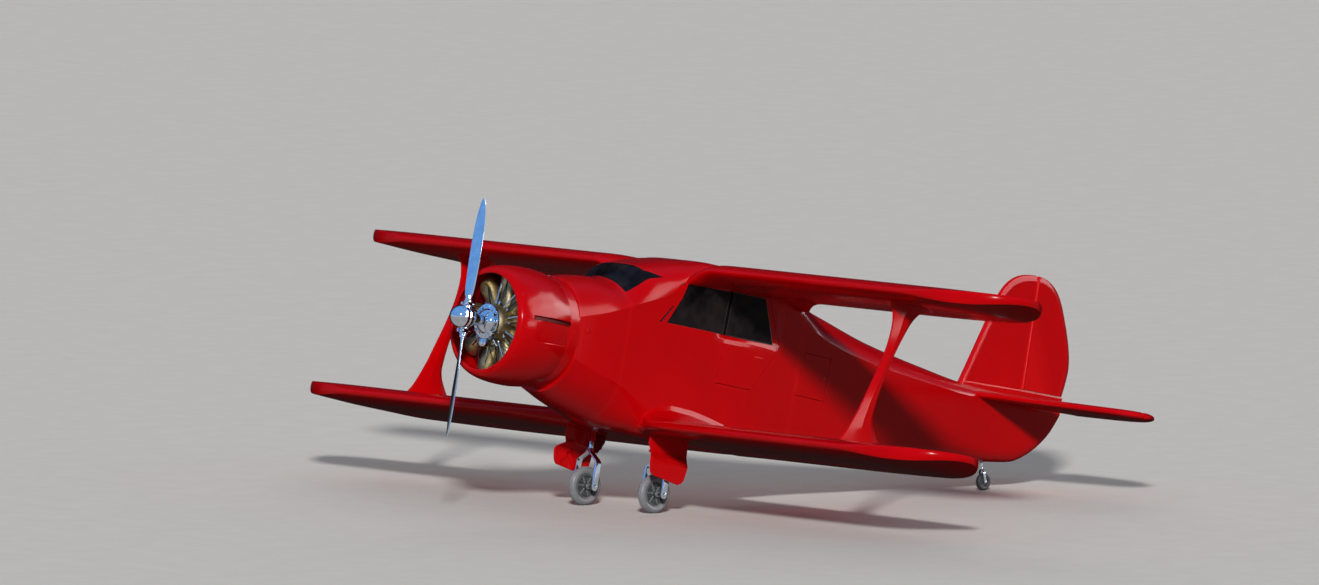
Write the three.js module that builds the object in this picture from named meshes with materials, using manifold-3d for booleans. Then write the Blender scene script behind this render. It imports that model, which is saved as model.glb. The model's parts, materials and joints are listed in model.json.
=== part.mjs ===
// Cabin biplane with a radial engine, parked on its main wheels and tail wheel.
// Lengths are millimetres. The finished model has +X to the nose, +Y to port and +Z up.
// Everything is laid out in the aircraft's own axes, from the middle of the propeller on the thrust line:
// "aft" is measured towards the tail, "port" towards the left wing tip and "up" square to the thrust line.
import * as THREE from 'three';
import { mergeVertices } from 'three/addons/utils/BufferGeometryUtils.js';
import Module from 'manifold-3d';

const wasm = await Module();
wasm.setup();

// Driving sizes
const HALF_SPAN = 4875;
const CHORD = 1524;
const INCIDENCE = THREE.MathUtils.degToRad(4);
const WING_THICKNESS = 0.12;
const WING_CAMBER = 0.02;
const EDGE_THICKNESS = 26;
const TIP_THICKNESS = 65;
const WING_GAP = 1620;
const WING_STAGGER = 510;
const UPPER_EDGE_AFT = 2300;
const UPPER_EDGE_UP = 863;
const STRUT_PORT = 3284;
const PROPELLER_RADIUS = 1195;
const SPINNER_RADIUS = 115;
const COWL_FRONT = 250;
const COWL_REAR = 895;
const SKIRT_REAR = 1019;
const FIREWALL = 1020;
const CABIN_FRONT = 1620;
const CABIN_REAR = 3950;
const HINGE_AFT = 7418;
const MAIN_WHEEL = { aft: 2331, port: 527, up: -1399, radius: 195, section: 48 };
const TAIL_WHEEL = { aft: 7100, port: 0, up: -647, radius: 89, section: 25 };

// Clearances
const SEAT_GAP = 0.4;
const MOVE_GAP = 7;
const DOOR_GAP = 6;
const WALL = 40;

// Materials
const paint = (color) => new THREE.MeshStandardMaterial({ color, roughness: 0.22, metalness: 0.05 });
const RED = 0xc80812;
const material = {
  red: () => paint(RED),
  darkRed: () => paint(0x8c0710),
  chrome: () => new THREE.MeshStandardMaterial({ color: 0xd9dde2, roughness: 0.08, metalness: 1 }),
  steel: () => new THREE.MeshStandardMaterial({ color: 0xa9adb0, roughness: 0.3, metalness: 1 }),
  brass: () => new THREE.MeshStandardMaterial({ color: 0x9a8550, roughness: 0.38, metalness: 0.9 }),
  glass: () => new THREE.MeshStandardMaterial({ color: 0x191416, roughness: 0.05, metalness: 0 }),
  tyre: () => new THREE.MeshStandardMaterial({ color: 0x77777a, roughness: 0.75, metalness: 0 }),
  tailTyre: () => new THREE.MeshStandardMaterial({ color: 0x141415, roughness: 0.8, metalness: 0 }),
  leather: () => new THREE.MeshStandardMaterial({ color: 0x4a3328, roughness: 0.6, metalness: 0 }),
  panel: () => new THREE.MeshStandardMaterial({ color: 0x1c1c1e, roughness: 0.5, metalness: 0.1 }),
};

const at = (aft, port, up) => new THREE.Vector3(-aft, port, up);
const mix = THREE.MathUtils.lerp;

// Closed mesh through rings of equal count, capped flat at both ends
function loft(rings) {
  const count = rings[0].length;
  const index = [];
  for (let ring = 0; ring < rings.length - 1; ring += 1) {
    for (let k = 0; k < count; k += 1) {
      const a = ring * count + k;
      const b = ring * count + ((k + 1) % count);
      index.push(a, b, b + count, a, b + count, a + count);
    }
  }
  index.push(...capFaces(rings[0], 0, true));
  index.push(...capFaces(rings.at(-1), (rings.length - 1) * count, false));
  return closedGeometry(rings.flat(), index);
}

// Triangles that fill a flat ring, wound with the ring or against it
function capFaces(ring, offset, against) {
  const normal = new THREE.Vector3();
  ring.forEach((point, k) => normal.add(new THREE.Vector3().crossVectors(point, ring[(k + 1) % ring.length])));
  const size = normal.clone().set(Math.abs(normal.x), Math.abs(normal.y), Math.abs(normal.z));
  const drop = size.x >= size.y && size.x >= size.z ? 'x' : size.y >= size.z ? 'y' : 'z';
  const [u, v] = { x: ['y', 'z'], y: ['z', 'x'], z: ['x', 'y'] }[drop];
  const flat = ring.map((point) => new THREE.Vector2(point[u], point[v]));
  const turn = Math.sign(normal[drop]);
  return THREE.ShapeUtils.triangulateShape(flat, []).flatMap(([p, q, r]) => {
    const area = flat[q].clone().sub(flat[p]).cross(flat[r].clone().sub(flat[p]));
    const withRing = Math.sign(area) === turn ? [p, q, r] : [p, r, q];
    return (against ? withRing.reverse() : withRing).map((k) => k + offset);
  });
}

// Geometry from points and triangles, with its faces turned outwards
function closedGeometry(points, index) {
  let volume = 0;
  for (let k = 0; k < index.length; k += 3) {
    const [a, b, c] = [points[index[k]], points[index[k + 1]], points[index[k + 2]]];
    volume += a.dot(new THREE.Vector3().crossVectors(b, c));
  }
  const geometry = new THREE.BufferGeometry().setFromPoints(points);
  geometry.setIndex(volume < 0 ? index.slice().reverse() : index);
  return geometry;
}

// Solid for joining and cutting
function solidOf(geometry) {
  const bare = geometry.clone();
  bare.deleteAttribute('normal');
  bare.deleteAttribute('uv');
  const merged = mergeVertices(bare, 1e-3);
  return new wasm.Manifold(new wasm.Mesh({
    numProp: 3,
    vertProperties: new Float32Array(merged.attributes.position.array),
    triVerts: new Uint32Array(merged.index.array),
  }));
}

// Geometry of a joined or cut solid
function geometryOf(solid) {
  const { vertProperties, triVerts } = solid.getMesh();
  const geometry = new THREE.BufferGeometry();
  geometry.setAttribute('position', new THREE.BufferAttribute(vertProperties, 3));
  geometry.setIndex(new THREE.BufferAttribute(triVerts, 1));
  return geometry;
}

const join = (...solids) => solids.reduce((sum, solid) => sum.add(solid));
const cut = (body, ...tools) => tools.reduce((rest, tool) => rest.subtract(tool), body);

// Mirror image on the other side of the aircraft
function mirrored(solid) {
  const geometry = geometryOf(solid);
  geometry.scale(1, -1, 1);
  geometry.setIndex([...geometry.index.array].reverse());
  return solidOf(geometry);
}

// Prism over an outline of [aft, up] corners, between two port distances
function sidePrism(outline, portIn, portOut) {
  const ring = (port) => outline.map(([aft, up]) => at(aft, port, up));
  return solidOf(loft([ring(portIn), ring(portOut)]));
}

// Prism over an outline of [aft, port] corners, between two heights
function planPrism(outline, low, high) {
  const ring = (up) => outline.map(([aft, port]) => at(aft, port, up));
  return solidOf(loft([ring(low), ring(high)]));
}

function block(aftRange, portRange, upRange) {
  const [front, rear] = aftRange;
  const [inner, outer] = portRange;
  return planPrism([[front, inner], [rear, inner], [rear, outer], [front, outer]], ...upRange);
}

// Solid of revolution about the thrust line, from [aft, radius] corners of a closed profile or one on the axis
function turned(profile, segments) {
  const points = profile.map(([aft, radius]) => new THREE.Vector2(radius, aft));
  if (points[0].x > 0) points.push(points[0].clone());
  const geometry = new THREE.LatheGeometry(points, segments);
  geometry.rotateZ(Math.PI / 2);
  return solidOf(outward(geometry));
}

// Solid of revolution about an axle that runs to port, from [port, radius] corners
function wheelTurned(profile, segments) {
  const points = profile.map(([port, radius]) => new THREE.Vector2(radius, port));
  if (points[0].x > 0) points.push(points[0].clone());
  return solidOf(outward(new THREE.LatheGeometry(points, segments)));
}

// The same surface with merged points, no empty triangles and its faces turned outwards
function outward(geometry) {
  const bare = geometry.clone();
  bare.deleteAttribute('normal');
  bare.deleteAttribute('uv');
  const merged = mergeVertices(bare, 1e-3);
  const place = merged.attributes.position;
  const points = Array.from({ length: place.count }, (_, k) => new THREE.Vector3().fromBufferAttribute(place, k));
  const index = [];
  for (let k = 0; k < merged.index.count; k += 3) {
    const [a, b, c] = [0, 1, 2].map((step) => merged.index.getX(k + step));
    if (a !== b && b !== c && c !== a) index.push(a, b, c);
  }
  return closedGeometry(points, index);
}

// Round bar between two points
function rod(from, to, radius, segments = 12, endRadius = radius) {
  const axis = to.clone().sub(from);
  const geometry = new THREE.CylinderGeometry(endRadius, radius, axis.length(), segments);
  const upright = new THREE.Vector3(0, 1, 0);
  geometry.applyQuaternion(new THREE.Quaternion().setFromUnitVectors(upright, axis.clone().normalize()));
  geometry.translate(...from.clone().add(to).multiplyScalar(0.5).toArray());
  return solidOf(geometry);
}

// Fuselage sections. Columns: aft, crown and keel heights, half width of the flat side, heights where that side
// ends above and below, and the exponents of the rounded top and bottom (2 is an ellipse, more is squarer).
const FUSELAGE = [
  { aft: 1020, crown: 558, keel: -600, half: 530, sill: 190, chine: -225, top: 1.8, bottom: 1.8 },
  { aft: 1300, crown: 594, keel: -705, half: 565, sill: 268, chine: -320, top: 1.9, bottom: 1.9 },
  { aft: 1620, crown: 637, keel: -795, half: 585, sill: 385, chine: -405, top: 1.9, bottom: 2.2 },
  { aft: 1950, crown: 775, keel: -850, half: 590, sill: 512, chine: -560, top: 1.9, bottom: 4 },
  { aft: 2130, crown: 842, keel: -865, half: 590, sill: 585, chine: -600, top: 2.0, bottom: 5 },
  { aft: 2380, crown: 925, keel: -876, half: 590, sill: 700, chine: -600, top: 3.2, bottom: 5 },
  { aft: 2700, crown: 966, keel: -884, half: 588, sill: 720, chine: -600, top: 5, bottom: 5 },
  { aft: 3100, crown: 944, keel: -884, half: 580, sill: 720, chine: -600, top: 5, bottom: 5 },
  { aft: 3500, crown: 880, keel: -866, half: 565, sill: 690, chine: -590, top: 4.5, bottom: 4 },
  { aft: 3950, crown: 782, keel: -812, half: 520, sill: 560, chine: -560, top: 3, bottom: 2.4 },
  { aft: 4400, crown: 688, keel: -762, half: 470, sill: 400, chine: -520, top: 2.0, bottom: 2.2 },
  { aft: 5200, crown: 496, keel: -668, half: 375, sill: 270, chine: -440, top: 1.8, bottom: 2.1 },
  { aft: 6000, crown: 366, keel: -573, half: 275, sill: 205, chine: -380, top: 1.8, bottom: 2 },
  { aft: 6600, crown: 290, keel: -500, half: 195, sill: 165, chine: -330, top: 1.9, bottom: 2 },
  { aft: 7200, crown: 262, keel: -432, half: 122, sill: 150, chine: -290, top: 2, bottom: 2 },
  { aft: 7400, crown: 255, keel: -402, half: 98, sill: 150, chine: -260, top: 2, bottom: 2 },
  { aft: 7600, crown: 248, keel: -303, half: 76, sill: 150, chine: -180, top: 2, bottom: 2 },
  { aft: 7740, crown: 243, keel: -192, half: 58, sill: 150, chine: -90, top: 2, bottom: 2 },
  { aft: 7870, crown: 236, keel: -42, half: 40, sill: 150, chine: 30, top: 2, bottom: 2 },
  { aft: 7965, crown: 228, keel: 130, half: 22, sill: 180, chine: 160, top: 2, bottom: 2 },
];
const ARCH_STEPS = 7;

// Ring of one fuselage section, from the port chine round over the crown and back under the keel
function fuselageRing(section, grow = 0) {
  const arch = (from, to, exponent) => Array.from({ length: 2 * ARCH_STEPS + 1 }, (_, k) => {
    const angle = (Math.PI * k) / (2 * ARCH_STEPS);
    const side = Math.cos(angle);
    const port = Math.sign(side) * Math.abs(side) ** (2 / exponent) * (section.half + grow);
    return [port, from + (to - from) * Math.sin(angle) ** (2 / exponent)];
  });
  const over = arch(section.sill, section.crown + grow, section.top);
  const under = arch(section.chine, section.keel - grow, section.bottom).reverse();
  return [...over, ...under].map(([port, up]) => at(section.aft, port, up));
}

// Solid fuselage between two of the table's stations
function fuselageBody(front, rear, grow = 0) {
  const used = FUSELAGE.filter(({ aft }) => aft >= front && aft <= rear);
  const ends = used.map((section, k) => {
    const push = k === 0 ? -grow : k === used.length - 1 ? grow : 0;
    return fuselageRing({ ...section, aft: section.aft + push }, grow);
  });
  return solidOf(loft(ends));
}

// Wings
const CHORD_STEPS = [0, 0.015, 0.05, 0.13, 0.28, 0.45, 0.62, 0.78, 0.9, 1];
const SPAN_STEPS = [520, 590, 650, 740, 910, 1100, 1350, 2000, 3000, 3600, 4100, 4400, 4620, 4770, 4845, 4870];
// Rounded tips: where the rounding starts and the share of the chord it takes at each end, where the underside starts
// to rise to the thin edge, and the share of the chord about which the tip is twisted level
const TIP = { nosePort: 3700, noseShare: 0.48, tailPort: 2400, tailShare: 0.52, thinPort: 3900, twistShare: 0.3 };
const ROOT_PORT = 590;
// How fast the root fairing fades over the chord at the leading and trailing edge, and the chord share where its
// swelling ends
const NOSE_POWER = 4;
const TAIL_POWER = 8;
const SWELL_SHARE = 0.75;
// Height either side of a hinge line that takes in the whole wing section
const SECTION_REACH = 400;
const WINGS = {
  // Root fairing: where it ends, how far the leading edge reaches forward and up, the trailing edge aft and down, how
  // far the upper skin swells and where that swelling ends
  upper: {
    edgeAft: UPPER_EDGE_AFT,
    edgeUp: UPPER_EDGE_UP,
    rootEnd: 910,
    noseOut: 0,
    noseUp: -130,
    tailOut: 115,
    tailDeep: 90,
    swell: 0,
    swellEnd: 910,
  },
  lower: {
    edgeAft: UPPER_EDGE_AFT - WING_STAGGER,
    edgeUp: UPPER_EDGE_UP - WING_GAP,
    rootEnd: 1350,
    noseOut: -200,
    noseUp: 10,
    tailOut: 60,
    tailDeep: 0,
    swell: 165,
    swellEnd: 1500,
  },
};

// Share of the chord that the rounded tip takes away at one end of the section
function tipTrim(port, start, share) {
  const t = Math.max(0, (port - start) / (HALF_SPAN - start));
  return share * (1 - Math.sqrt(Math.max(0, 1 - t * t)));
}

// Heights of the upper and lower skins over the chord line, at a share of the chord from the leading edge
function airfoil(share, chord, thickness) {
  const x = share;
  const curve = 0.2969 * Math.sqrt(x) - 0.126 * x - 0.3516 * x ** 2 + 0.2843 * x ** 3 - 0.1036 * x ** 4;
  const half = 5 * curve * thickness + x * EDGE_THICKNESS / 2;
  const bend = 4 * WING_CAMBER * chord * x * (1 - x);
  return [bend + half, bend - half];
}

function wingRing(wing, port, grow) {
  const nose = tipTrim(port, TIP.nosePort, TIP.noseShare);
  const tail = 1 - tipTrim(port, TIP.tailPort, TIP.tailShare);
  const thin = Math.max(0, (port - TIP.thinPort) / (HALF_SPAN - TIP.thinPort)) ** 2;
  const fade = (end) => THREE.MathUtils.clamp((end - port) / (end - ROOT_PORT), 0, 1) ** 2;
  const root = fade(wing.rootEnd);
  const place = (share, side) => {
    const along = mix(nose, tail, share);
    const [high, low] = airfoil(along, CHORD, WING_THICKNESS * CHORD);
    const depth = Math.min(high - low, mix(high - low, TIP_THICKNESS, thin));
    const twist = thin * (along - TIP.twistShare) * CHORD * Math.sin(INCIDENCE);
    const edge = share === 0 ? depth / 2 : 0;
    const offset = twist + (side > 0 ? high + grow : high - depth - grow) + (side > 0 ? -edge : edge);
    const forward = root * (1 - share) ** NOSE_POWER;
    const back = root * share ** TAIL_POWER;
    const hump = Math.sin(Math.PI * Math.min(1, share / SWELL_SHARE));
    const swell = side > 0 ? fade(wing.swellEnd) * wing.swell * hump : 0;
    const deep = side < 0 ? -back * wing.tailDeep : 0;
    const edgeGrow = grow * (share === 0 ? -1 : share === 1 ? 1 : 0);
    return at(
      wing.edgeAft + along * CHORD * Math.cos(INCIDENCE) - forward * wing.noseOut + back * wing.tailOut + edgeGrow,
      port,
      wing.edgeUp - along * CHORD * Math.sin(INCIDENCE) + offset + forward * wing.noseUp + swell + deep,
    );
  };
  const over = CHORD_STEPS.slice().reverse().map((share) => place(share, 1));
  const under = CHORD_STEPS.slice(1).map((share) => place(share, -1));
  return [...over, ...under];
}

const wingPanel = (wing, grow = 0) => solidOf(loft(SPAN_STEPS.map((port) => wingRing(wing, port, grow))));

// Control surface cut out of a wing panel. The hinge runs along the middle of the skin at one share of the chord.
function controlSurface(wing, panel, { share, inner, outer }) {
  const aft = wing.edgeAft + share * CHORD * Math.cos(INCIDENCE);
  const [high, low] = airfoil(share, CHORD, WING_THICKNESS * CHORD);
  const up = wing.edgeUp - share * CHORD * Math.sin(INCIDENCE) + (high + low) / 2;
  const radius = (high - low) / 2;
  const tall = [up - SECTION_REACH, up + SECTION_REACH];
  const behind = block([aft, aft + CHORD], [inner + MOVE_GAP, outer - MOVE_GAP], tall);
  const nose = rod(at(aft, inner + MOVE_GAP, up), at(aft, outer - MOVE_GAP, up), radius, 20);
  const slot = block([aft - radius - MOVE_GAP, aft + CHORD], [inner, outer], tall);
  return { fixed: cut(panel, slot), moving: join(panel.intersect(behind), nose) };
}

const AILERON = { share: 0.78, inner: 2300, outer: 4050 };
const FLAP = { share: 0.8, inner: 980, outer: 2900 };

// Pieces
const airframe = new THREE.Group();

function addPiece(name, solid, makeMaterial, place = [0, 0, 0]) {
  const mesh = new THREE.Mesh(geometryOf(solid), makeMaterial());
  mesh.name = name;
  mesh.position.set(...place);
  airframe.add(mesh);
}

// Adds a port piece and its mirror image, each cut by the same middle pieces
function addPair(name, solid, makeMaterial, ...tools) {
  addPiece(`${name}_port`, cut(solid, ...tools), makeMaterial);
  addPiece(`${name}_starboard`, cut(mirrored(solid), ...tools), makeMaterial);
}

const bodyGrown = fuselageBody(FUSELAGE[0].aft, FUSELAGE.at(-1).aft, SEAT_GAP);

// Wings with their ailerons and flaps
const upper = controlSurface(WINGS.upper, wingPanel(WINGS.upper), AILERON);
const lower = controlSurface(WINGS.lower, wingPanel(WINGS.lower), FLAP);
addPair('upper_wing', upper.fixed, material.red, bodyGrown);
addPair('aileron', upper.moving, material.red);
addPair('lower_wing', lower.fixed, material.red, bodyGrown);
addPair('flap', lower.moving, material.red);

// Interplane struts, flared where they meet the wings
const STRUT = [
  { up: -760, front: 2166, rear: 2826, half: 50 },
  { up: -680, front: 2206, rear: 2766, half: 46 },
  { up: -590, front: 2336, rear: 2700, half: 41 },
  { up: -470, front: 2440, rear: 2664, half: 37 },
  { up: -390, front: 2480, rear: 2638, half: 34 },
  { up: -300, front: 2500, rear: 2634, half: 33 },
  { up: 550, front: 2672, rear: 2890, half: 36 },
  { up: 680, front: 2646, rear: 2986, half: 40 },
  { up: 770, front: 2596, rear: 3136, half: 46 },
  { up: 850, front: 2546, rear: 3266, half: 50 },
];
const STRUT_OUTLINE = [[0, 0.25], [0.08, 0.75], [0.3, 1], [0.6, 0.85], [1, 0.12]];

function strutRing({ up, front, rear, half }) {
  const side = STRUT_OUTLINE.map(([share, width]) => [mix(front, rear, share), width * half]);
  const outline = [...side.map(([aft, out]) => [aft, out]), ...side.reverse().map(([aft, out]) => [aft, -out])];
  return outline.map(([aft, out]) => at(aft, STRUT_PORT + out, up));
}

const strut = cut(
  solidOf(loft(STRUT.map(strutRing))),
  wingPanel(WINGS.upper, SEAT_GAP),
  wingPanel(WINGS.lower, SEAT_GAP),
);
addPair('interplane_strut', strut, material.red);

// Cabin: shell, glass, door and furniture
const WINDSHIELD = { front: 1632, rear: 2100, half: 450, low: 400, high: 1000, inset: 3, thick: 9, margin: 1 };
const SIDE_WINDOW = [[2310, 712], [2255, 560], [2099, 291], [3559, 271], [3372, 711]];
const SLIVER_WINDOW = [[2152, 477], [1999, 284], [2034, 284], [2165, 452]];
const DOOR = [[2854, -202], [2889, 274], [2914, 728], [3432, 728], [3653, 274], [3336, -209]];
const DOOR_WINDOW = [[2929, 715], [2906, 280], [3559, 271], [3372, 711]];
const FRONT_WINDOW = [[2310, 712], [2255, 560], [2099, 291], [2863, 281], [2884, 713]];
const HATCH = [[4045, 258], [3996, -169], [4401, -177], [4420, 250]];
const CABIN_SPACE = { front: 1660, rear: 3560, floor: -430, roof: 735 };
const HATCH_THICKNESS = 30;
const HATCH_REST = 3;
const BAY = { front: 4050, rear: 4390, starboard: -160, low: -155, high: 238 };
// Reach of the cutters through one side wall, measured to port
const SIDE = { inner: 470, windowInner: 480, hatchInner: 300, outer: 640 };
const PANE = { inset: 14, thick: 8, margin: 1 };
const CABIN_REACH = 700;
const PROUD = 20;

// Outline moved outwards by a distance, corner by corner
function offsetOutline(outline, distance) {
  const points = outline.map(([a, b]) => new THREE.Vector2(a, b));
  const turn = THREE.ShapeUtils.isClockWise(points) ? -1 : 1;
  const normal = (p, q) => new THREE.Vector2(q.y - p.y, p.x - q.x).normalize().multiplyScalar(turn);
  return points.map((point, k) => {
    const before = normal(points.at(k - 1), point);
    const after = normal(point, points[(k + 1) % points.length]);
    const bisector = before.clone().add(after);
    return point.clone().add(bisector.multiplyScalar((2 * distance) / bisector.lengthSq())).toArray();
  });
}

const cabinRings = (shrink) => FUSELAGE
  .filter(({ aft }) => aft >= CABIN_FRONT && aft <= CABIN_REAR)
  .map((section) => ({
    ...section,
    half: section.half - shrink,
    crown: section.crown - shrink,
    keel: section.keel + shrink,
  }));
const cabinSkin = (shrink) => solidOf(loft(cabinRings(shrink).map((section) => fuselageRing(section))));
const cabinBlock = fuselageBody(CABIN_FRONT, CABIN_REAR);
const cabinSpace = cabinSkin(WALL).intersect(
  block([CABIN_SPACE.front, CABIN_SPACE.rear], [-CABIN_REACH, CABIN_REACH], [CABIN_SPACE.floor, CABIN_SPACE.roof]),
);
const windshieldHole = block(
  [WINDSHIELD.front, WINDSHIELD.rear],
  [-WINDSHIELD.half, WINDSHIELD.half],
  [WINDSHIELD.low, WINDSHIELD.high],
).intersect(cabinSkin(-PROUD));
const paneSheet = cut(cabinSkin(PANE.inset), cabinSkin(PANE.inset + PANE.thick));
const windowTool = (outline, side) => sidePrism(outline, side * SIDE.windowInner, side * SIDE.outer);
const pane = (outline, side) => paneSheet.intersect(windowTool(offsetOutline(outline, -PANE.margin), side));

const doorTool = sidePrism(offsetOutline(DOOR, DOOR_GAP), SIDE.inner, SIDE.outer);
const shell = cut(
  cabinBlock,
  cabinSpace,
  windshieldHole,
  windowTool(FRONT_WINDOW, 1),
  windowTool(SIDE_WINDOW, -1),
  windowTool(SLIVER_WINDOW, 1),
  windowTool(SLIVER_WINDOW, -1),
  doorTool,
);
addPiece('cabin_shell', shell, material.red);
const door = cut(cabinSkin(0), cabinSkin(WALL)).intersect(sidePrism(DOOR, SIDE.inner, SIDE.outer));
addPiece('cabin_door', cut(door, windowTool(DOOR_WINDOW, 1)), material.red);
addPiece('door_glass', pane(DOOR_WINDOW, 1), material.glass);
addPiece('side_glass_port', pane(FRONT_WINDOW, 1), material.glass);
addPiece('side_glass_starboard', pane(SIDE_WINDOW, -1), material.glass);
addPiece('sliver_glass_port', pane(SLIVER_WINDOW, 1), material.glass);
addPiece('sliver_glass_starboard', pane(SLIVER_WINDOW, -1), material.glass);
const windshieldSheet = cut(cabinSkin(WINDSHIELD.inset), cabinSkin(WINDSHIELD.inset + WINDSHIELD.thick));
const windshield = windshieldSheet.intersect(block(
  [WINDSHIELD.front + WINDSHIELD.margin, WINDSHIELD.rear - WINDSHIELD.margin],
  [-WINDSHIELD.half + WINDSHIELD.margin, WINDSHIELD.half - WINDSHIELD.margin],
  [WINDSHIELD.low, WINDSHIELD.high],
));
addPiece('windshield', windshield, material.glass);

// Nose: forward fuselage, cowl, skirt and engine
const NOSE_REACH = 1000;
const cabinSeat = block(
  [CABIN_FRONT - SEAT_GAP, CABIN_FRONT + SEAT_GAP],
  [-NOSE_REACH, NOSE_REACH],
  [-NOSE_REACH, NOSE_REACH],
);
addPiece('forward_fuselage', cut(fuselageBody(FIREWALL, CABIN_FRONT), cabinSeat), material.red);

const COWL_WALL = 12;
const COWL_OUTER = [
  [COWL_FRONT, 500], [256, 520], [275, 541], [320, 562], [400, 580], [520, 592], [640, 594], [760, 585],
  [COWL_REAR, 563],
];
const COWL_INNER = [[COWL_REAR, 551], [640, 582], [400, 560], [320, 525], [285, 495], [262, 482], [252, 488]];
addPiece('cowl', turned([...COWL_OUTER, ...COWL_INNER], 40), material.red);
const SKIRT = [
  [COWL_REAR + 1, 563], [SKIRT_REAR, 556], [SKIRT_REAR, 556 - COWL_WALL], [COWL_REAR + 1, 563 - COWL_WALL],
];
addPiece('cowl_skirt', turned(SKIRT, 40), material.red);

const CYLINDERS = 9;
const CYLINDER_AFT = 520;
const CRANKCASE = [
  [206, 0], [208, 55], [228, 100], [262, 132], [300, 142], [335, 150], [350, 205], [400, 250], [640, 250],
  [660, 205],
  [FIREWALL - SEAT_GAP, 190], [FIREWALL - SEAT_GAP, 0],
];
// Cylinder profile: distance from the crankshaft and radius
const BARREL = [[225, 60], [300, 64], [420, 78], [520, 86], [548, 70], [558, 0]];
const PUSHROD = { spread: 58, footSpread: 23, aft: 392, headAft: 462, footRadius: 170, headRadius: 520, radius: 9 };

function radial(distance, angle, aft, side = 0) {
  return at(
    aft,
    distance * Math.sin(angle) + side * Math.cos(angle),
    distance * Math.cos(angle) - side * Math.sin(angle),
  );
}

function cylinder(angle) {
  const corners = BARREL.map(([reach, radius]) => new THREE.Vector2(radius, reach));
  const points = [new THREE.Vector2(0, BARREL[0][0]), ...corners];
  const geometry = outward(new THREE.LatheGeometry(points, 12));
  const out = radial(1, angle, 0);
  geometry.applyQuaternion(new THREE.Quaternion().setFromUnitVectors(new THREE.Vector3(0, 1, 0), out));
  geometry.translate(-CYLINDER_AFT, 0, 0);
  return solidOf(geometry);
}

const cylinderAngles = Array.from({ length: CYLINDERS }, (_, k) => (2 * Math.PI * k) / CYLINDERS);
const pushrods = cylinderAngles.flatMap((angle) => [-1, 1].map((side) => rod(
  radial(PUSHROD.footRadius, angle, PUSHROD.aft, side * PUSHROD.footSpread),
  radial(PUSHROD.headRadius, angle, PUSHROD.headAft, side * PUSHROD.spread),
  PUSHROD.radius,
  6,
)));
addPiece('engine', join(turned(CRANKCASE, 28), ...cylinderAngles.map(cylinder), ...pushrods), material.brass);

// Propeller: hub, two blades and the ball in front
const HUB = [
  [-29.5, 0], [-29.5, 104], [0, 110], [40, 103], [70, 82], [90, 60], [198, 55], [198, 0],
];
// Blade sections. Columns: distance from the hub, chord, thickness and turn from the propeller's plane in degrees
const BLADE = [
  { reach: 60, chord: 54, thick: 54, turn: 40 },
  { reach: 190, chord: 58, thick: 54, turn: 38 },
  { reach: 300, chord: 108, thick: 34, turn: 34 },
  { reach: 520, chord: 136, thick: 22, turn: 27 },
  { reach: 800, chord: 134, thick: 16, turn: 21 },
  { reach: 1000, chord: 112, thick: 12, turn: 18 },
  { reach: 1130, chord: 72, thick: 9, turn: 16 },
  { reach: PROPELLER_RADIUS, chord: 16, thick: 6, turn: 16 },
];
const BLADE_POINTS = 10;

function bladeRing({ reach, chord, thick, turn }, side) {
  const tilt = THREE.MathUtils.degToRad(turn);
  return Array.from({ length: BLADE_POINTS }, (_, k) => {
    const angle = (2 * Math.PI * k) / BLADE_POINTS;
    const across = (chord / 2) * Math.cos(angle);
    const through = (thick / 2) * Math.sin(angle);
    const port = across * Math.cos(tilt) - through * Math.sin(tilt);
    const aft = across * Math.sin(tilt) + through * Math.cos(tilt);
    return at(aft, side * port, side * reach);
  });
}

const blades = [1, -1].map((side) => solidOf(loft(BLADE.map((section) => bladeRing(section, side)))));
addPiece('propeller', join(turned(HUB, 24), ...blades), material.chrome);
// Ball: the place of its middle and of the flat back that rests on the hub
const BALL = { aft: -60, back: -30, steps: 8 };
const ballProfile = Array.from({ length: BALL.steps + 1 }, (_, k) => {
  const reach = Math.acos((BALL.back - BALL.aft) / SPINNER_RADIUS);
  const angle = Math.PI - ((Math.PI - reach) * k) / BALL.steps;
  return [BALL.aft + SPINNER_RADIUS * Math.cos(angle), SPINNER_RADIUS * Math.sin(angle)];
});
ballProfile[0][1] = 0;
addPiece('spinner', turned([...ballProfile, [BALL.back, 0]], 24), material.chrome);

// Rear fuselage with the baggage bay and its hatch
const bay = block([BAY.front, BAY.rear], [BAY.starboard, SIDE.outer], [BAY.low, BAY.high]);
const rearBody = fuselageBody(CABIN_REAR, FUSELAGE.at(-1).aft);
const hatchSkin = (shrink) => solidOf(loft(FUSELAGE
  .filter(({ aft }) => aft >= CABIN_REAR && aft <= 5200)
  .map((section) => fuselageRing({ ...section, half: section.half - shrink }))));
const hatchTool = (grow) => sidePrism(offsetOutline(HATCH, grow), SIDE.hatchInner, SIDE.outer);
const rearSeat = fuselageBody(CABIN_FRONT, CABIN_REAR, SEAT_GAP);
const hatchRecess = cut(hatchTool(DOOR_GAP), hatchSkin(HATCH_THICKNESS + HATCH_REST));
addPiece('rear_fuselage', cut(rearBody, rearSeat, bay, hatchRecess), material.red);
addPiece('baggage_hatch', cut(hatchSkin(0), hatchSkin(HATCH_THICKNESS)).intersect(hatchTool(0)), material.red);

// Tail surfaces, each outlined whole and then split at the hinge
const TAIL_THICKNESS = 76;
const TAIL_BEVEL = 24;
const BEVEL_WIDTH = 38.4;
const TAIL_UP = 200;
const RUDDER_LOW = 337;
const TAIL_HALF_SPAN = 1930;

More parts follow.
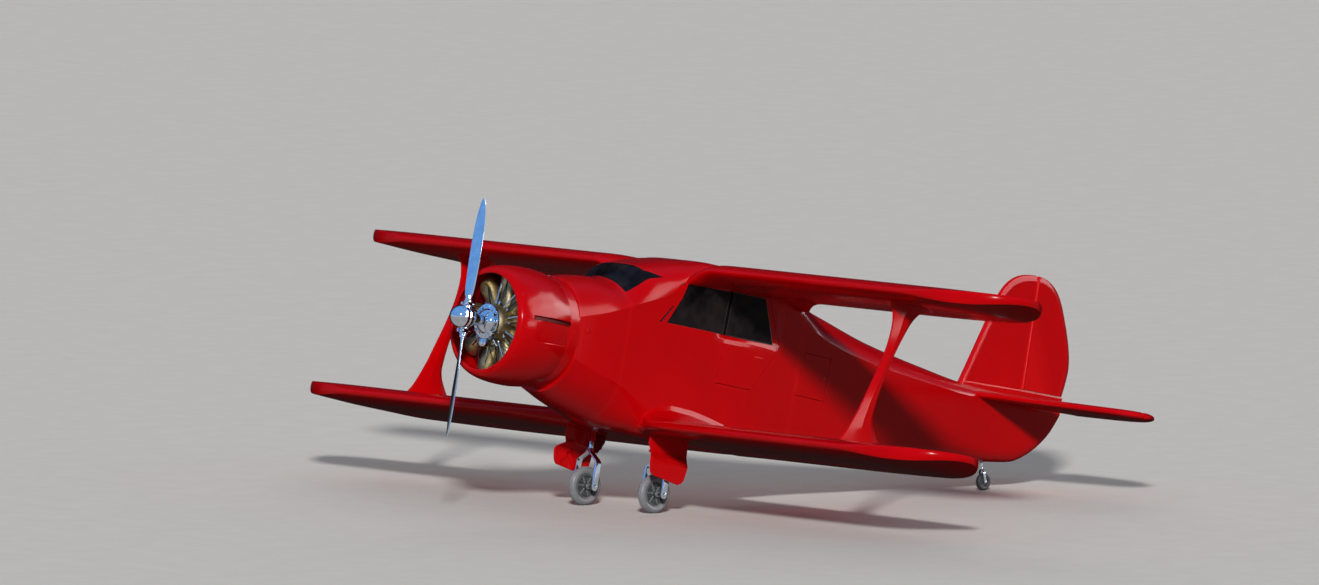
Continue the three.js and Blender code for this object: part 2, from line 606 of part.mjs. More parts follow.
// Outlines of the tail surfaces, as [aft, out] points: one for a straight run, three for a curve
const FIN_OUTLINE = [
  [[6480, 80]],
  [[6880, 1150]],
  [[6970, 1385], [7100, 1492], [7380, 1492]],
  [[7620, 1470], [7730, 1350], [7800, 1200]],
  [[7940, 900], [8010, 700], [7994, 560]],
  [[7990, 480], [7975, 400], [7958, RUDDER_LOW]],
  [[7940, 80]],
];
const STABILISER_OUTLINE = [
  [[6610, -60]],
  [[6670, 120]],
  [[7150, 1730]],
  [[7190, 1860], [7280, TAIL_HALF_SPAN], [7400, TAIL_HALF_SPAN]],
  [[7640, 1810], [7960, 1350], [8000, 760]],
  [[8000, -60]],
];

function outlineShape(rows) {
  const shape = new THREE.Shape();
  rows.forEach((points, k) => {
    const flat = points.flatMap(([aft, out]) => [-aft, out]);
    if (k === 0) shape.moveTo(...flat);
    else if (points.length === 1) shape.lineTo(...flat);
    else shape.bezierCurveTo(...flat);
  });
  return shape;
}

function bevelled(shape, thickness) {
  const geometry = new THREE.ExtrudeGeometry(shape, {
    depth: thickness - 2 * TAIL_BEVEL,
    bevelThickness: TAIL_BEVEL,
    bevelSize: BEVEL_WIDTH,
    bevelOffset: -BEVEL_WIDTH,
    bevelSegments: 2,
    curveSegments: 5,
  });
  geometry.translate(0, 0, -(thickness - 2 * TAIL_BEVEL) / 2);
  return outward(geometry);
}

const finGeometry = bevelled(outlineShape(FIN_OUTLINE), TAIL_THICKNESS);
finGeometry.rotateX(Math.PI / 2);
const finWhole = solidOf(outward(finGeometry));
const NOSE_RADIUS = TAIL_THICKNESS / 2 - 1;
const TAIL_SPACE = { front: 6300, rear: 8200, half: 200, low: 60, high: 1600, side: 2000 };
const HINGE_ENDS = { rudderTop: 1475, elevatorTip: 1900 };
const tailSides = [-TAIL_SPACE.half, TAIL_SPACE.half];
const rudderRegion = block([HINGE_AFT, TAIL_SPACE.rear], tailSides, [RUDDER_LOW, TAIL_SPACE.high]);
const rudderPost = rod(at(HINGE_AFT, 0, RUDDER_LOW), at(HINGE_AFT, 0, HINGE_ENDS.rudderTop), NOSE_RADIUS, 16);
const rudder = join(finWhole.intersect(rudderRegion), rudderPost.intersect(finWhole));
addPiece('rudder', rudder, material.red);
const fixedRear = HINGE_AFT - NOSE_RADIUS - MOVE_GAP;
const finRegion = block([TAIL_SPACE.front, fixedRear], tailSides, [TAIL_SPACE.low, TAIL_SPACE.high]);
addPiece('fin', cut(finWhole.intersect(finRegion), bodyGrown), material.red);

const tailGeometry = bevelled(outlineShape(STABILISER_OUTLINE), TAIL_THICKNESS);
tailGeometry.translate(0, 0, TAIL_UP);
const tailWhole = solidOf(tailGeometry);
// The elevator's inner end is cut back aft of the hinge to clear the rudder
const ELEVATOR = { root: 135, cutFrom: 130, cutPort: 400 };
const elevatorOutline = [
  [HINGE_AFT, ELEVATOR.root], [HINGE_AFT + ELEVATOR.cutFrom, ELEVATOR.root], [TAIL_SPACE.rear, ELEVATOR.cutPort],
  [TAIL_SPACE.rear, TAIL_SPACE.side], [HINGE_AFT, TAIL_SPACE.side],
];
const hingeRod = rod(
  at(HINGE_AFT, ELEVATOR.root, TAIL_UP),
  at(HINGE_AFT, HINGE_ENDS.elevatorTip, TAIL_UP),
  NOSE_RADIUS,
  16,
);
const elevator = join(
  tailWhole.intersect(planPrism(elevatorOutline, 0, 2 * TAIL_UP)),
  hingeRod.intersect(tailWhole),
);
addPair('elevator', elevator, material.red);
const stabiliserRegion = block([TAIL_SPACE.front, fixedRear], [0, TAIL_SPACE.side], [0, 2 * TAIL_UP]);
addPair('stabiliser', tailWhole.intersect(stabiliserRegion), material.red, bodyGrown);

// Main landing gear: leg, fork with its axle, cover plate, wheel
const FORK = { apexUp: -1042, kneeUp: -1150, spread: 147, thick: 26, wide: 56, foot: 40 };
// Arms meet under the piston: heights over the apex and reach from its middle at the top and where they part
const FORK_APEX = { rise: 30, inner: 14, drop: 14, outer: 20 };
const PISTON = { top: -950, radius: 27, rest: 0.5 };
const OLEO = { top: -700, radius: 36 };
const AXLE_RADIUS = 12;
const legPort = MAIN_WHEEL.port;

function forkArm(side) {
  const column = (up, out) => [out - FORK.thick / 2, out + FORK.thick / 2].flatMap((port, k) => {
    const near = MAIN_WHEEL.aft - FORK.wide / 2;
    const far = MAIN_WHEEL.aft + FORK.wide / 2;
    return k === 0 ? [at(near, port, up), at(far, port, up)] : [at(far, port, up), at(near, port, up)];
  });
  const out = (reach) => legPort + side * reach;
  return solidOf(loft([
    column(FORK.apexUp + FORK_APEX.rise, out(FORK_APEX.inner)),
    column(FORK.apexUp - FORK_APEX.drop, out(FORK_APEX.outer)),
    column(FORK.kneeUp, out(FORK.spread)),
    column(MAIN_WHEEL.up - FORK.foot, out(FORK.spread)),
  ]));
}

const mainAxle = rod(
  at(MAIN_WHEEL.aft, legPort - FORK.spread, MAIN_WHEEL.up),
  at(MAIN_WHEEL.aft, legPort + FORK.spread, MAIN_WHEEL.up),
  AXLE_RADIUS,
  16,
);
const piston = rod(
  at(MAIN_WHEEL.aft, legPort, PISTON.top - PISTON.rest),
  at(MAIN_WHEEL.aft, legPort, FORK.apexUp),
  PISTON.radius,
  16,
);
addPair('gear_fork', join(piston, forkArm(1), forkArm(-1), mainAxle), material.chrome);
const oleo = rod(at(MAIN_WHEEL.aft, legPort, OLEO.top), at(MAIN_WHEEL.aft, legPort, PISTON.top), OLEO.radius, 16);
const lowerGrown = wingPanel(WINGS.lower, SEAT_GAP);
addPair('gear_oleo', cut(oleo, lowerGrown), material.red, bodyGrown);

const GEAR_DOOR = [
  [1992, -760], [1985, -920], [2030, -1000], [2045, -1130], [2062, -1195], [2100, -1228], [2440, -1280],
  [2500, -1245],
  [2534, -1084], [2500, -1010], [2482, -760],
];
const GEAR_DOOR_PORT = [722, 742];
addPair('gear_door', cut(sidePrism(GEAR_DOOR, ...GEAR_DOOR_PORT), lowerGrown), material.red);
const GEAR_PLATE = [[2405, -760], [2405, -1050], [2450, -1060], [2530, -940], [2530, -760]];
const GEAR_PLATE_PORT = [548, 560];
addPair('gear_plate', cut(sidePrism(GEAR_PLATE, ...GEAR_PLATE_PORT), lowerGrown), material.darkRed, bodyGrown);

// Tyre and rim profiles about the axle: distance to port, radius
function tyreProfile({ radius, section }) {
  const middle = radius - section;
  return Array.from({ length: 10 }, (_, k) => {
    const angle = (2 * Math.PI * (k + 0.5)) / 10;
    return [section * Math.sin(angle), middle + section * Math.cos(angle)];
  });
}

const tyreHole = (wheel) => Math.min(...tyreProfile(wheel).map(([, radius]) => radius));
const rimProfile = (wheel, hub, bore) => {
  const rim = tyreHole(wheel) - SEAT_GAP;
  return [
    [-hub.half, bore], [-hub.half, hub.radius], [-hub.web, hub.radius], [-hub.web, rim - hub.lip],
    [-hub.rimHalf, rim - hub.lip], [-hub.rimHalf, rim], [hub.rimHalf, rim], [hub.rimHalf, rim - hub.lip],
    [hub.web, rim - hub.lip], [hub.web, hub.radius], [hub.half, hub.radius], [hub.half, bore],
  ];
};
const MAIN_HUB = { half: 60, radius: 30, web: 9, rimHalf: 26, lip: 9 };
const TAIL_HUB = { half: 27, radius: 14, web: 5, rimHalf: 15, lip: 5 };
const WHEEL_SEGMENTS = 28;
const mainTyre = wheelTurned(tyreProfile(MAIN_WHEEL), WHEEL_SEGMENTS);
const BORE_GAP = 1.2;
const mainRim = wheelTurned(rimProfile(MAIN_WHEEL, MAIN_HUB, AXLE_RADIUS + BORE_GAP), WHEEL_SEGMENTS);
for (const [side, sign] of [['port', 1], ['starboard', -1]]) {
  const centre = at(MAIN_WHEEL.aft, sign * MAIN_WHEEL.port, MAIN_WHEEL.up).toArray();
  addPiece(`main_tyre_${side}`, mainTyre, material.tyre, centre);
  addPiece(`main_rim_${side}`, mainRim, material.steel, centre);
}

// Tail wheel: leg, castoring fork, wheel. The swivel axis is upright when the aircraft is parked, so these pieces are
// placed by level distances behind, to port of and above the point of that axis beside the axle.
const TAIL_TRAIL = 25;
const TAIL_LEG = { low: 155, high: 330, radius: 22 };
const TAIL_CROWN = { low: 132, high: 149, radius: 18 };
const TAIL_FORK = { spread: 36, thick: 8, wide: 30, knee: 92, foot: -14, axle: 6 };
// Arms under the crown: how far its top stands over them, and their reach from the middle at the top and bottom of it
const TAIL_APEX = { drop: 5, inner: 6, outer: 10, kneeBack: 5 };
const wheelBase = Math.hypot(MAIN_WHEEL.aft - TAIL_WHEEL.aft, MAIN_WHEEL.up - TAIL_WHEEL.up);
const wheelSlope = Math.atan2(TAIL_WHEEL.up - MAIN_WHEEL.up, TAIL_WHEEL.aft - MAIN_WHEEL.aft);
const pitch = wheelSlope + Math.asin((MAIN_WHEEL.radius - TAIL_WHEEL.radius) / wheelBase);
const tailAt = (back, port, high) => new THREE.Vector3(TAIL_TRAIL - back, port, high)
  .applyAxisAngle(new THREE.Vector3(0, 1, 0), pitch)
  .add(at(TAIL_WHEEL.aft, 0, TAIL_WHEEL.up));
const tailLeg = rod(tailAt(0, 0, TAIL_LEG.high), tailAt(0, 0, TAIL_LEG.low), TAIL_LEG.radius, 16);
addPiece('tail_leg', cut(tailLeg, bodyGrown), material.steel);

function tailArm(side) {
  const column = (back, high, out) => {
    const [inner, outer] = [out - TAIL_FORK.thick / 2, out + TAIL_FORK.thick / 2].map((port) => side * port);
    const [near, far] = [back - TAIL_FORK.wide / 2, back + TAIL_FORK.wide / 2];
    return [tailAt(near, inner, high), tailAt(far, inner, high), tailAt(far, outer, high), tailAt(near, outer, high)];
  };
  return solidOf(loft([
    column(0, TAIL_CROWN.high - TAIL_APEX.drop, TAIL_APEX.inner),
    column(0, TAIL_CROWN.low, TAIL_APEX.outer),
    column(TAIL_APEX.kneeBack, TAIL_FORK.knee, TAIL_FORK.spread),
    column(TAIL_TRAIL, TAIL_FORK.foot, TAIL_FORK.spread),
  ]));
}

const tailAxle = rod(
  tailAt(TAIL_TRAIL, -TAIL_FORK.spread, 0),
  tailAt(TAIL_TRAIL, TAIL_FORK.spread, 0),
  TAIL_FORK.axle,
  12,
);
const tailCrown = rod(tailAt(0, 0, TAIL_CROWN.high), tailAt(0, 0, TAIL_CROWN.low), TAIL_CROWN.radius, 16);
addPiece('tail_fork', join(tailCrown, tailArm(1), tailArm(-1), tailAxle), material.chrome);
const tailCentre = at(TAIL_WHEEL.aft, 0, TAIL_WHEEL.up).toArray();
addPiece('tail_tyre', wheelTurned(tyreProfile(TAIL_WHEEL), WHEEL_SEGMENTS), material.tailTyre, tailCentre);
const tailRim = wheelTurned(rimProfile(TAIL_WHEEL, TAIL_HUB, TAIL_FORK.axle + BORE_GAP), WHEEL_SEGMENTS);
addPiece('tail_rim', tailRim, material.steel, tailCentre);

// Cabin furniture
const SEAT = [[2180, -250], [2160, -105], [2560, -130], [2690, 330], [2760, 330], [2660, -250]];
const SEAT_HALF = 215;
const SEAT_PORT = 265;
const BENCH = [[3010, -250], [2990, -110], [3360, -130], [3430, 300], [3500, 300], [3470, -250]];
const BENCH_HALF = 480;
const FRAME_HALF = 150;
const BOX_HALF = 440;
// Frames stand just over the cabin floor and end just under the cushions
const FRAME_LOW = CABIN_SPACE.floor + 1;
const FRAME_HIGH = -252;
const seatPad = sidePrism(SEAT, SEAT_PORT - SEAT_HALF, SEAT_PORT + SEAT_HALF);
const SEAT_FRAME = [[2230, FRAME_LOW], [2230, FRAME_HIGH], [2600, FRAME_HIGH], [2600, FRAME_LOW]];
addPair('front_seat', seatPad, material.leather);
addPair('seat_frame', sidePrism(SEAT_FRAME, SEAT_PORT - FRAME_HALF, SEAT_PORT + FRAME_HALF), material.panel);
addPiece('rear_bench', sidePrism(BENCH, -BENCH_HALF, BENCH_HALF), material.leather);
const BENCH_BOX = [[3060, FRAME_LOW], [3060, FRAME_HIGH], [3440, FRAME_HIGH], [3440, FRAME_LOW]];
addPiece('bench_box', sidePrism(BENCH_BOX, -BOX_HALF, BOX_HALF), material.panel);
const PANEL = { front: 1700, rear: 1740, half: 520, low: 40, high: 520 };
const panelBlock = block([PANEL.front, PANEL.rear], [-PANEL.half, PANEL.half], [PANEL.low, PANEL.high]);
const PANEL_SHRINK = WALL + 2;
addPiece('instrument_panel', panelBlock.intersect(cabinSkin(PANEL_SHRINK)), material.panel);
const YOKE = { aft: 1960, up: 210, radius: 115, rim: 9, shaft: 12, shaftEnd: 1968, bar: 8 };
const yokeCentre = at(YOKE.aft, SEAT_PORT, YOKE.up);
const yokeGeometry = new THREE.TorusGeometry(YOKE.radius, YOKE.rim, 6, 20);
yokeGeometry.rotateY(Math.PI / 2);
yokeGeometry.translate(...yokeCentre.toArray());
const yokeFoot = at(PANEL.rear + SEAT_GAP, SEAT_PORT, YOKE.up);
const yokeShaft = rod(yokeFoot, at(YOKE.shaftEnd, SEAT_PORT, YOKE.up), YOKE.shaft, 10);
const yokeBar = rod(
  at(YOKE.aft, SEAT_PORT - YOKE.radius, YOKE.up),
  at(YOKE.aft, SEAT_PORT + YOKE.radius, YOKE.up),
  YOKE.bar,
  8,
);
addPiece('control_yoke', join(solidOf(outward(yokeGeometry)), yokeShaft, yokeBar), material.panel);

// Parked attitude: the aircraft sits nose up on its main and tail wheels, its lowest middle point at the origin
airframe.rotation.y = -pitch;

const aircraft = new THREE.Group();
aircraft.add(airframe);
aircraft.updateMatrixWorld(true);
const extent = new THREE.Box3().setFromObject(airframe, true);
airframe.position.set(
  -(extent.min.x + extent.max.x) / 2,
  -(extent.min.y + extent.max.y) / 2,
  -extent.min.z,
);

export default aircraft;
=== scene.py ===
"""Looks of a parked cabin biplane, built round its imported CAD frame.

Tables are in millimetres in the aircraft's own axes: aft of the propeller, to port, and up from the thrust
line. Objects are in metres in the frame's axes: +X to the nose, +Y to port and +Z up, parked nose up.
"""
import json
import logging
import math
from dataclasses import dataclass, field
from enum import Enum
from typing import Callable

import bmesh
import bpy
import numpy as np
from bpy.types import ID, Collection, Material, Node, NodeSocket, NodeTree, Object
from mathutils import Matrix, Vector

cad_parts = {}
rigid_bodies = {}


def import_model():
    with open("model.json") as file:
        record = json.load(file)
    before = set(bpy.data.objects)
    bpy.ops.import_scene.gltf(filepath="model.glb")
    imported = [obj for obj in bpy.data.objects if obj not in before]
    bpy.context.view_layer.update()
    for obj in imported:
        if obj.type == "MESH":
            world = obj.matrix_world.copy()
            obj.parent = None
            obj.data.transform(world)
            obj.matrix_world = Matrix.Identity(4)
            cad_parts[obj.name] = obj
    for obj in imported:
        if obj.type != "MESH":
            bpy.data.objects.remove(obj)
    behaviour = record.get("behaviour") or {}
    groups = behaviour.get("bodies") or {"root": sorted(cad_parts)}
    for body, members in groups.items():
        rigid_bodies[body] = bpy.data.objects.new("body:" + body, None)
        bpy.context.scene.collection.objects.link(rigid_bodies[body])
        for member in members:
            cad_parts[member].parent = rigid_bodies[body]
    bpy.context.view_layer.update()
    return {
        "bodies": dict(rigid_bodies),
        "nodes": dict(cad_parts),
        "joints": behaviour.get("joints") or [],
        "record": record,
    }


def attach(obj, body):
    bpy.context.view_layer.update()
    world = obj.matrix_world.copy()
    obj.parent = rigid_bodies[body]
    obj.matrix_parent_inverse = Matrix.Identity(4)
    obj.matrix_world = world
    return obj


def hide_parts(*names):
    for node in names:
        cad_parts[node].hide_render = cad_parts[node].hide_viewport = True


MM = 0.001
TO_PORT = np.array([0.0, 1.0, 0.0])

LOG = logging.getLogger("biplane")

# Driving sizes of the CAD model, repeated here in its own words
HALF_SPAN = 4875.0
CHORD = 1524.0
INCIDENCE = math.radians(4.0)
HINGE_AFT = 7418.0
STRUT_PORT = 3284.0
MOVE_GAP = 7.0
DOOR_GAP = 6.0
WALL = 40.0
MAIN_WHEEL = (2331.0, 527.0, -1399.0)
TAIL_WHEEL = (7100.0, 0.0, -647.0)


class Plane(Enum):
    """Which two of the aircraft's axes an outline is drawn in; the third is the way it is thickened."""

    SIDE = (0, 2, 1)
    PLAN = (0, 1, 2)
    FRONT = (1, 2, 0)


class Grain(Enum):
    """Fine surface pattern that a finish carries."""

    NOISE = "ShaderNodeTexNoise"
    CELLS = "ShaderNodeTexVoronoi"


class Axis(Enum):
    """Directions in the aircraft's own axes."""

    AFT = (1.0, 0.0, 0.0)
    PORT = (0.0, 1.0, 0.0)
    UP = (0.0, 0.0, 1.0)


@dataclass(frozen=True)
class BodyAxes:
    """One set of axes with its own origin, given in the frame's metres."""

    origin: np.ndarray
    forward: np.ndarray
    up: np.ndarray

    @classmethod
    def from_joint(cls, joint: dict) -> "BodyAxes":
        """Axes of the aircraft from its propeller joint.

        Args:
            joint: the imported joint, with its place in metres and its axis forward.

        Returns:
            Axes with their origin in the middle of the propeller.
        """
        forward = np.array(joint["axis"], float)
        forward /= np.linalg.norm(forward)
        return cls(np.array(joint["pos_m"], float), forward, np.cross(forward, TO_PORT))

    def world(self, points: np.ndarray) -> np.ndarray:
        """Places in the frame, in metres, of rows of aft, port and up in these axes, in millimetres."""
        p = np.asarray(points, float) * MM
        return self.origin - p[..., :1] * self.forward + p[..., 1:2] * TO_PORT + p[..., 2:3] * self.up

    def local(self, places: np.ndarray) -> np.ndarray:
        """Rows of aft, port and up in these axes, in millimetres, of places in the frame, in metres."""
        p = np.asarray(places, float) - self.origin
        return np.column_stack([-p @ self.forward, p @ TO_PORT, p @ self.up]) / MM


def linear(code: str) -> tuple[float, float, float, float]:
    """Linear red, green and blue of an sRGB code of six hex digits, and an alpha of 1."""
    parts = [int(code[k:k + 2], 16) / 255 for k in (0, 2, 4)]
    return (*(v / 12.92 if v <= 0.04045 else ((v + 0.055) / 1.055) ** 2.4 for v in parts), 1.0)


def per_metre(size_mm: float) -> float:
    """Texture scale that makes one feature of a pattern this many millimetres across."""
    return 1000.0 / size_mm


@dataclass(frozen=True)
class Finish:
    """One real material: its colours, gloss, two layers of surface detail and its slot in the record."""

    name: str
    colour: str
    tone: str
    rough: tuple[float, float]
    slot: str = ""
    metal: float = 0.0
    coat: float = 0.0
    gleam: float = 0.5
    patch_mm: float = 400.0
    grain: Grain = Grain.NOISE
    grain_mm: float = 4.0
    bump_mm: float = 0.05
    stretch: tuple[float, float, float] = (1.0, 1.0, 1.0)
    worn: str = ""
    alpha: float = 1.0


# Sprayed enamel: deep red, a hard gloss with faint orange peel, and edges a shade lighter where it is thin
RED_ENAMEL = Finish("red_enamel", "CE0109", "C40107", (0.13, 0.19), "red_paint", gleam=0.07, patch_mm=700,
                    grain_mm=9, bump_mm=0.015, worn="D40A10")
# Painted shade: the same enamel made darker for the shade inside the gear wells and the cowl
SHADE_PAINTED_ENAMEL = Finish("dark_red_enamel", "6E0408", "520306", (0.3, 0.45), "dark_red_paint", gleam=0.04,
                     patch_mm=200, grain_mm=7, bump_mm=0.05)
# Polished chromium plate: clear mirror with faint rubbing marks
CHROME = Finish("chrome_plate", "DDE1E6", "CCD2DA", (0.03, 0.09), "chrome", metal=1.0, patch_mm=60,
                grain_mm=2.5, bump_mm=0.004)
# Heat-tinted brass-coloured cylinders with cast grain
BRASS = Finish("tinted_brass", "C9B88A", "A8966C", (0.34, 0.5), "brass", metal=1.0, patch_mm=55, grain_mm=3,
               bump_mm=0.1, worn="DCCFA6")
# Turned and brushed steel: fine bands along the part
STEEL = Finish("brushed_steel", "A4A8AB", "8F9497", (0.25, 0.4), "steel", metal=1.0, patch_mm=50,
               grain_mm=1.2, bump_mm=0.02, stretch=(1.0, 1.0, 8.0))
# Grey-black rubber of seals, sleeved rods and leads
RUBBER_BLACK = Finish("black_rubber", "141416", "1E1E20", (0.55, 0.75), "trim_black", patch_mm=40,
                      grain_mm=1.5)
# Sun-bleached grey tyre rubber with a fine gritty face
TYRE_GREY = Finish("grey_tyre_rubber", "8C8C8F", "7E7E82", (0.36, 0.48), "tyre_grey", patch_mm=60,
                   grain_mm=2.2, bump_mm=0.06, worn="9A9A9E")
# Black tyre rubber of the tail wheel
TYRE_BLACK = Finish("black_tyre_rubber", "161617", "222223", (0.5, 0.7), "tyre_black", patch_mm=30,
                    grain_mm=1.6, bump_mm=0.2, worn="303032")
# Light grey stove enamel of the tail leg
GREY_ENAMEL = Finish("grey_stove_enamel", "B4B8BA", "A2A7AA", (0.3, 0.42), "steel", coat=0.3, patch_mm=50,
                     grain_mm=3, bump_mm=0.04, worn="CDD0D2")
# Darker grey enamel of the wheel centres
WHEEL_GREY = Finish("grey_wheel_enamel", "4A4C4E", "3A3C3E", (0.3, 0.42), "steel", gleam=0.4, patch_mm=50,
                    grain_mm=3, bump_mm=0.04, worn="74787A")
# Smoked acrylic: nearly black, glossy, the cabin just showing through; its lighter grey patches are painted
# reflections
SMOKED_GLASS = Finish("smoked_acrylic", "030203", "2B2426", (0.1, 0.2), "glass", gleam=0.06, patch_mm=240,
                      grain_mm=300, bump_mm=0.2, alpha=0.93)
# Black glossy paint of the window posts, the same to the eye as the smoked panes
SMOKED_TRIM = Finish("black_window_paint", "040304", "161213", (0.12, 0.2), gleam=0.06, patch_mm=240,
                     grain_mm=6, bump_mm=0.01)
# Clear instrument glass
DIAL_GLASS = Finish("dial_glass", "101214", "14171A", (0.03, 0.05), "glass", coat=1.0, patch_mm=40,
                    grain_mm=20, bump_mm=0.01, alpha=0.35)
# Creased brown leather with a pebbled grain
LEATHER = Finish("brown_leather", "4A3328", "392519", (0.42, 0.6), "leather", patch_mm=120, grain=Grain.CELLS,
                 grain_mm=3.2, bump_mm=0.35, worn="66493A")
# Black crackle paint of panels and seat frames
CRACKLE = Finish("black_crackle_paint", "1A1A1C", "232326", (0.45, 0.62), "trim_black", patch_mm=80,
                 grain=Grain.CELLS, grain_mm=1.8, bump_mm=0.2, worn="3A3A3E")
# Matt white dial markings
MARKING = Finish("dial_marking", "D8D8D0", "C8C8BE", (0.5, 0.6), "steel", patch_mm=10, grain_mm=1,
                 bump_mm=0.01)
# Grey wool carpet
WOOL = Finish("grey_wool", "5A544E", "48433E", (0.8, 0.95), patch_mm=90, grain=Grain.CELLS, grain_mm=2.5,
              bump_mm=0.6)
# Pale sealed studio floor
FLOOR = Finish("pale_floor", "F4F2EF", "F0EEEA", (0.8, 0.9), gleam=0.05, patch_mm=350, grain_mm=30,
               bump_mm=0.1)


def add_node(tree: NodeTree, kind: str, inputs: dict | None = None, **settings) -> Node:
    """Adds one node and fills its sockets.

    Args:
        tree: the node tree.
        kind: Blender's name of the node type.
        inputs: value or output socket for each named or numbered input.
        settings: properties of the node.

    Returns:
        The new node.
    """
    node = tree.nodes.new(kind)
    for key, value in settings.items():
        setattr(node, key, value)
    for key, value in (inputs or {}).items():
        if isinstance(value, NodeSocket):
            tree.links.new(value, node.inputs[key])
        else:
            node.inputs[key].default_value = value
    return node


class PaintShop:
    """Makes each finish's material once."""

    # Values of the patches' noise at which the colour and the gloss start and stop changing
    TONE_SPAN = (0.35, 0.65)
    GLOSS_SPAN = (0.3, 0.7)
    # Sharpness of an edge at which the paint starts to be worn, and where it is gone
    WEAR_SPAN = (0.515, 0.58)
    COAT_ROUGHNESS = 0.035

    def __init__(self) -> None:
        """Starts with no material made."""
        self.made: dict[str, Material] = {}

    def material(self, finish: Finish) -> Material:
        """Material of a finish, made the first time that it is asked for.

        Args:
            finish: what the surface is made of.

        Returns:
            The material.
        """
        if finish.name not in self.made:
            self.made[finish.name] = self.make(finish)
        return self.made[finish.name]

    def make(self, finish: Finish) -> Material:
        """New material in two tones, with uneven gloss, worn edges and fine grain.

        Args:
            finish: what the surface is made of.

        Returns:
            The material.
        """
        material = bpy.data.materials.new(finish.name)
        material.use_nodes = True
        tree = material.node_tree
        shader = tree.nodes["Principled BSDF"]
        place = add_node(tree, "ShaderNodeTexCoord").outputs["Object"]
        patches = add_node(tree, "ShaderNodeTexNoise", {
            "Vector": place, "Scale": per_metre(finish.patch_mm), "Detail": 4.0,
            "Roughness": 0.6}).outputs["Fac"]
        share = add_node(tree, "ShaderNodeMapRange", {
            "Value": patches, "From Min": self.TONE_SPAN[0], "From Max": self.TONE_SPAN[1]})
        colour = add_node(tree, "ShaderNodeMix", {
            0: share.outputs["Result"], 6: linear(finish.colour), 7: linear(finish.tone)}, data_type="RGBA")
        shown = colour.outputs[2]
        if finish.worn:
            edge = add_node(tree, "ShaderNodeNewGeometry").outputs["Pointiness"]
            rub = add_node(tree, "ShaderNodeMapRange", {
                "Value": edge, "From Min": self.WEAR_SPAN[0], "From Max": self.WEAR_SPAN[1]})
            shown = add_node(tree, "ShaderNodeMix", {
                0: rub.outputs["Result"], 6: shown, 7: linear(finish.worn)}, data_type="RGBA").outputs[2]
        gloss = add_node(tree, "ShaderNodeMapRange", {
            "Value": patches, "From Min": self.GLOSS_SPAN[0], "From Max": self.GLOSS_SPAN[1],
            "To Min": finish.rough[0], "To Max": finish.rough[1]})
        tree.links.new(shown, shader.inputs["Base Color"])
        tree.links.new(gloss.outputs["Result"], shader.inputs["Roughness"])
        tree.links.new(self.bump(tree, finish, place), shader.inputs["Normal"])
        amounts = {"Metallic": finish.metal, "Specular IOR Level": finish.gleam, "Coat Weight": finish.coat,
                   "Coat Roughness": self.COAT_ROUGHNESS, "Alpha": finish.alpha}
        for name, amount in amounts.items():
            shader.inputs[name].default_value = amount
        return material

    def bump(self, tree: NodeTree, finish: Finish, place: NodeSocket) -> NodeSocket:
        """Fine relief of a finish.

        Args:
            tree: the material's node tree.
            finish: what the surface is made of.
            place: the socket with the place on the object.

        Returns:
            The socket with the surface's direction.
        """
        stretched = add_node(tree, "ShaderNodeMapping", {"Vector": place, "Scale": finish.stretch})
        grain = add_node(tree, finish.grain.value, {
            "Vector": stretched.outputs["Vector"], "Scale": per_metre(finish.grain_mm)})
        return add_node(tree, "ShaderNodeBump", {
            "Height": grain.outputs[0], "Strength": 1.0, "Distance": finish.bump_mm * MM}).outputs["Normal"]


# Numbers and outlines

def smooth_column(known: np.ndarray, values: np.ndarray, asked: np.ndarray) -> np.ndarray:
    """Smooth curve through a table column that never overshoots it.

    Args:
        known: the table's places, rising.
        values: the column there.
        asked: the places wanted.

    Returns:
        The column at the places wanted.
    """
    step = np.diff(known)
    rise = np.diff(values) / step
    slope = np.zeros(len(known))
    slope[0], slope[-1] = rise[0], rise[-1]
    both = rise[:-1] * rise[1:] > 0
    w1 = 2 * step[1:] + step[:-1]
    w2 = step[1:] + 2 * step[:-1]
    safe = np.where(both, rise[:-1] * rise[1:], 1.0)
    inner = (w1 + w2) * safe / (w1 * rise[1:] + w2 * rise[:-1] + (~both) * 1e9)
    slope[1:-1] = np.where(both, inner, 0.0)
    k = np.clip(np.searchsorted(known, asked, side="right") - 1, 0, len(step) - 1)
    t = (asked - known[k]) / step[k]
    h00 = (1 + 2 * t) * (1 - t) ** 2
    h10 = t * (1 - t) ** 2
    h01 = t ** 2 * (3 - 2 * t)
    h11 = t ** 2 * (t - 1)
    return h00 * values[k] + h10 * step[k] * slope[k] + h01 * values[k + 1] + h11 * step[k] * slope[k + 1]


def smooth_table(table: list[tuple[float, ...]], asked: np.ndarray) -> np.ndarray:
    """All columns of a table at the places asked, one row each; its first column is the place."""
    rows = np.array(table, float)
    return np.column_stack([smooth_column(rows[:, 0], column, asked) for column in rows.T])


def between(places: list | tuple, gap: float) -> np.ndarray:
    """Places along a line that hold every one given and leave no more than a gap between them.

    Args:
        places: the places to hold, rising.
        gap: the widest step.

    Returns:
        All the places.
    """
    parts = []
    for start, end in zip(places, places[1:]):
        parts.append(np.linspace(start, end, max(2, int(math.ceil((end - start) / gap)) + 1))[:-1])
    return np.concatenate([*parts, [places[-1]]])


def inset(outline: list | np.ndarray, distance: float) -> np.ndarray:
    """Outline moved inwards, corner by corner.

    Args:
        outline: the corners of a closed outline.
        distance: how far inwards, or outwards if it is negative.

    Returns:
        The moved corners.
    """
    points = np.asarray(outline, float)
    ahead = np.roll(points, -1, axis=0)
    turn = np.sign(np.sum(points[:, 0] * ahead[:, 1] - ahead[:, 0] * points[:, 1]))
    side = ahead - points
    normal = turn * np.column_stack([-side[:, 1], side[:, 0]]) / np.linalg.norm(side, axis=1)[:, None]
    both = normal + np.roll(normal, 1, axis=0)
    return points + both * (2 * distance / np.sum(both * both, axis=1))[:, None]


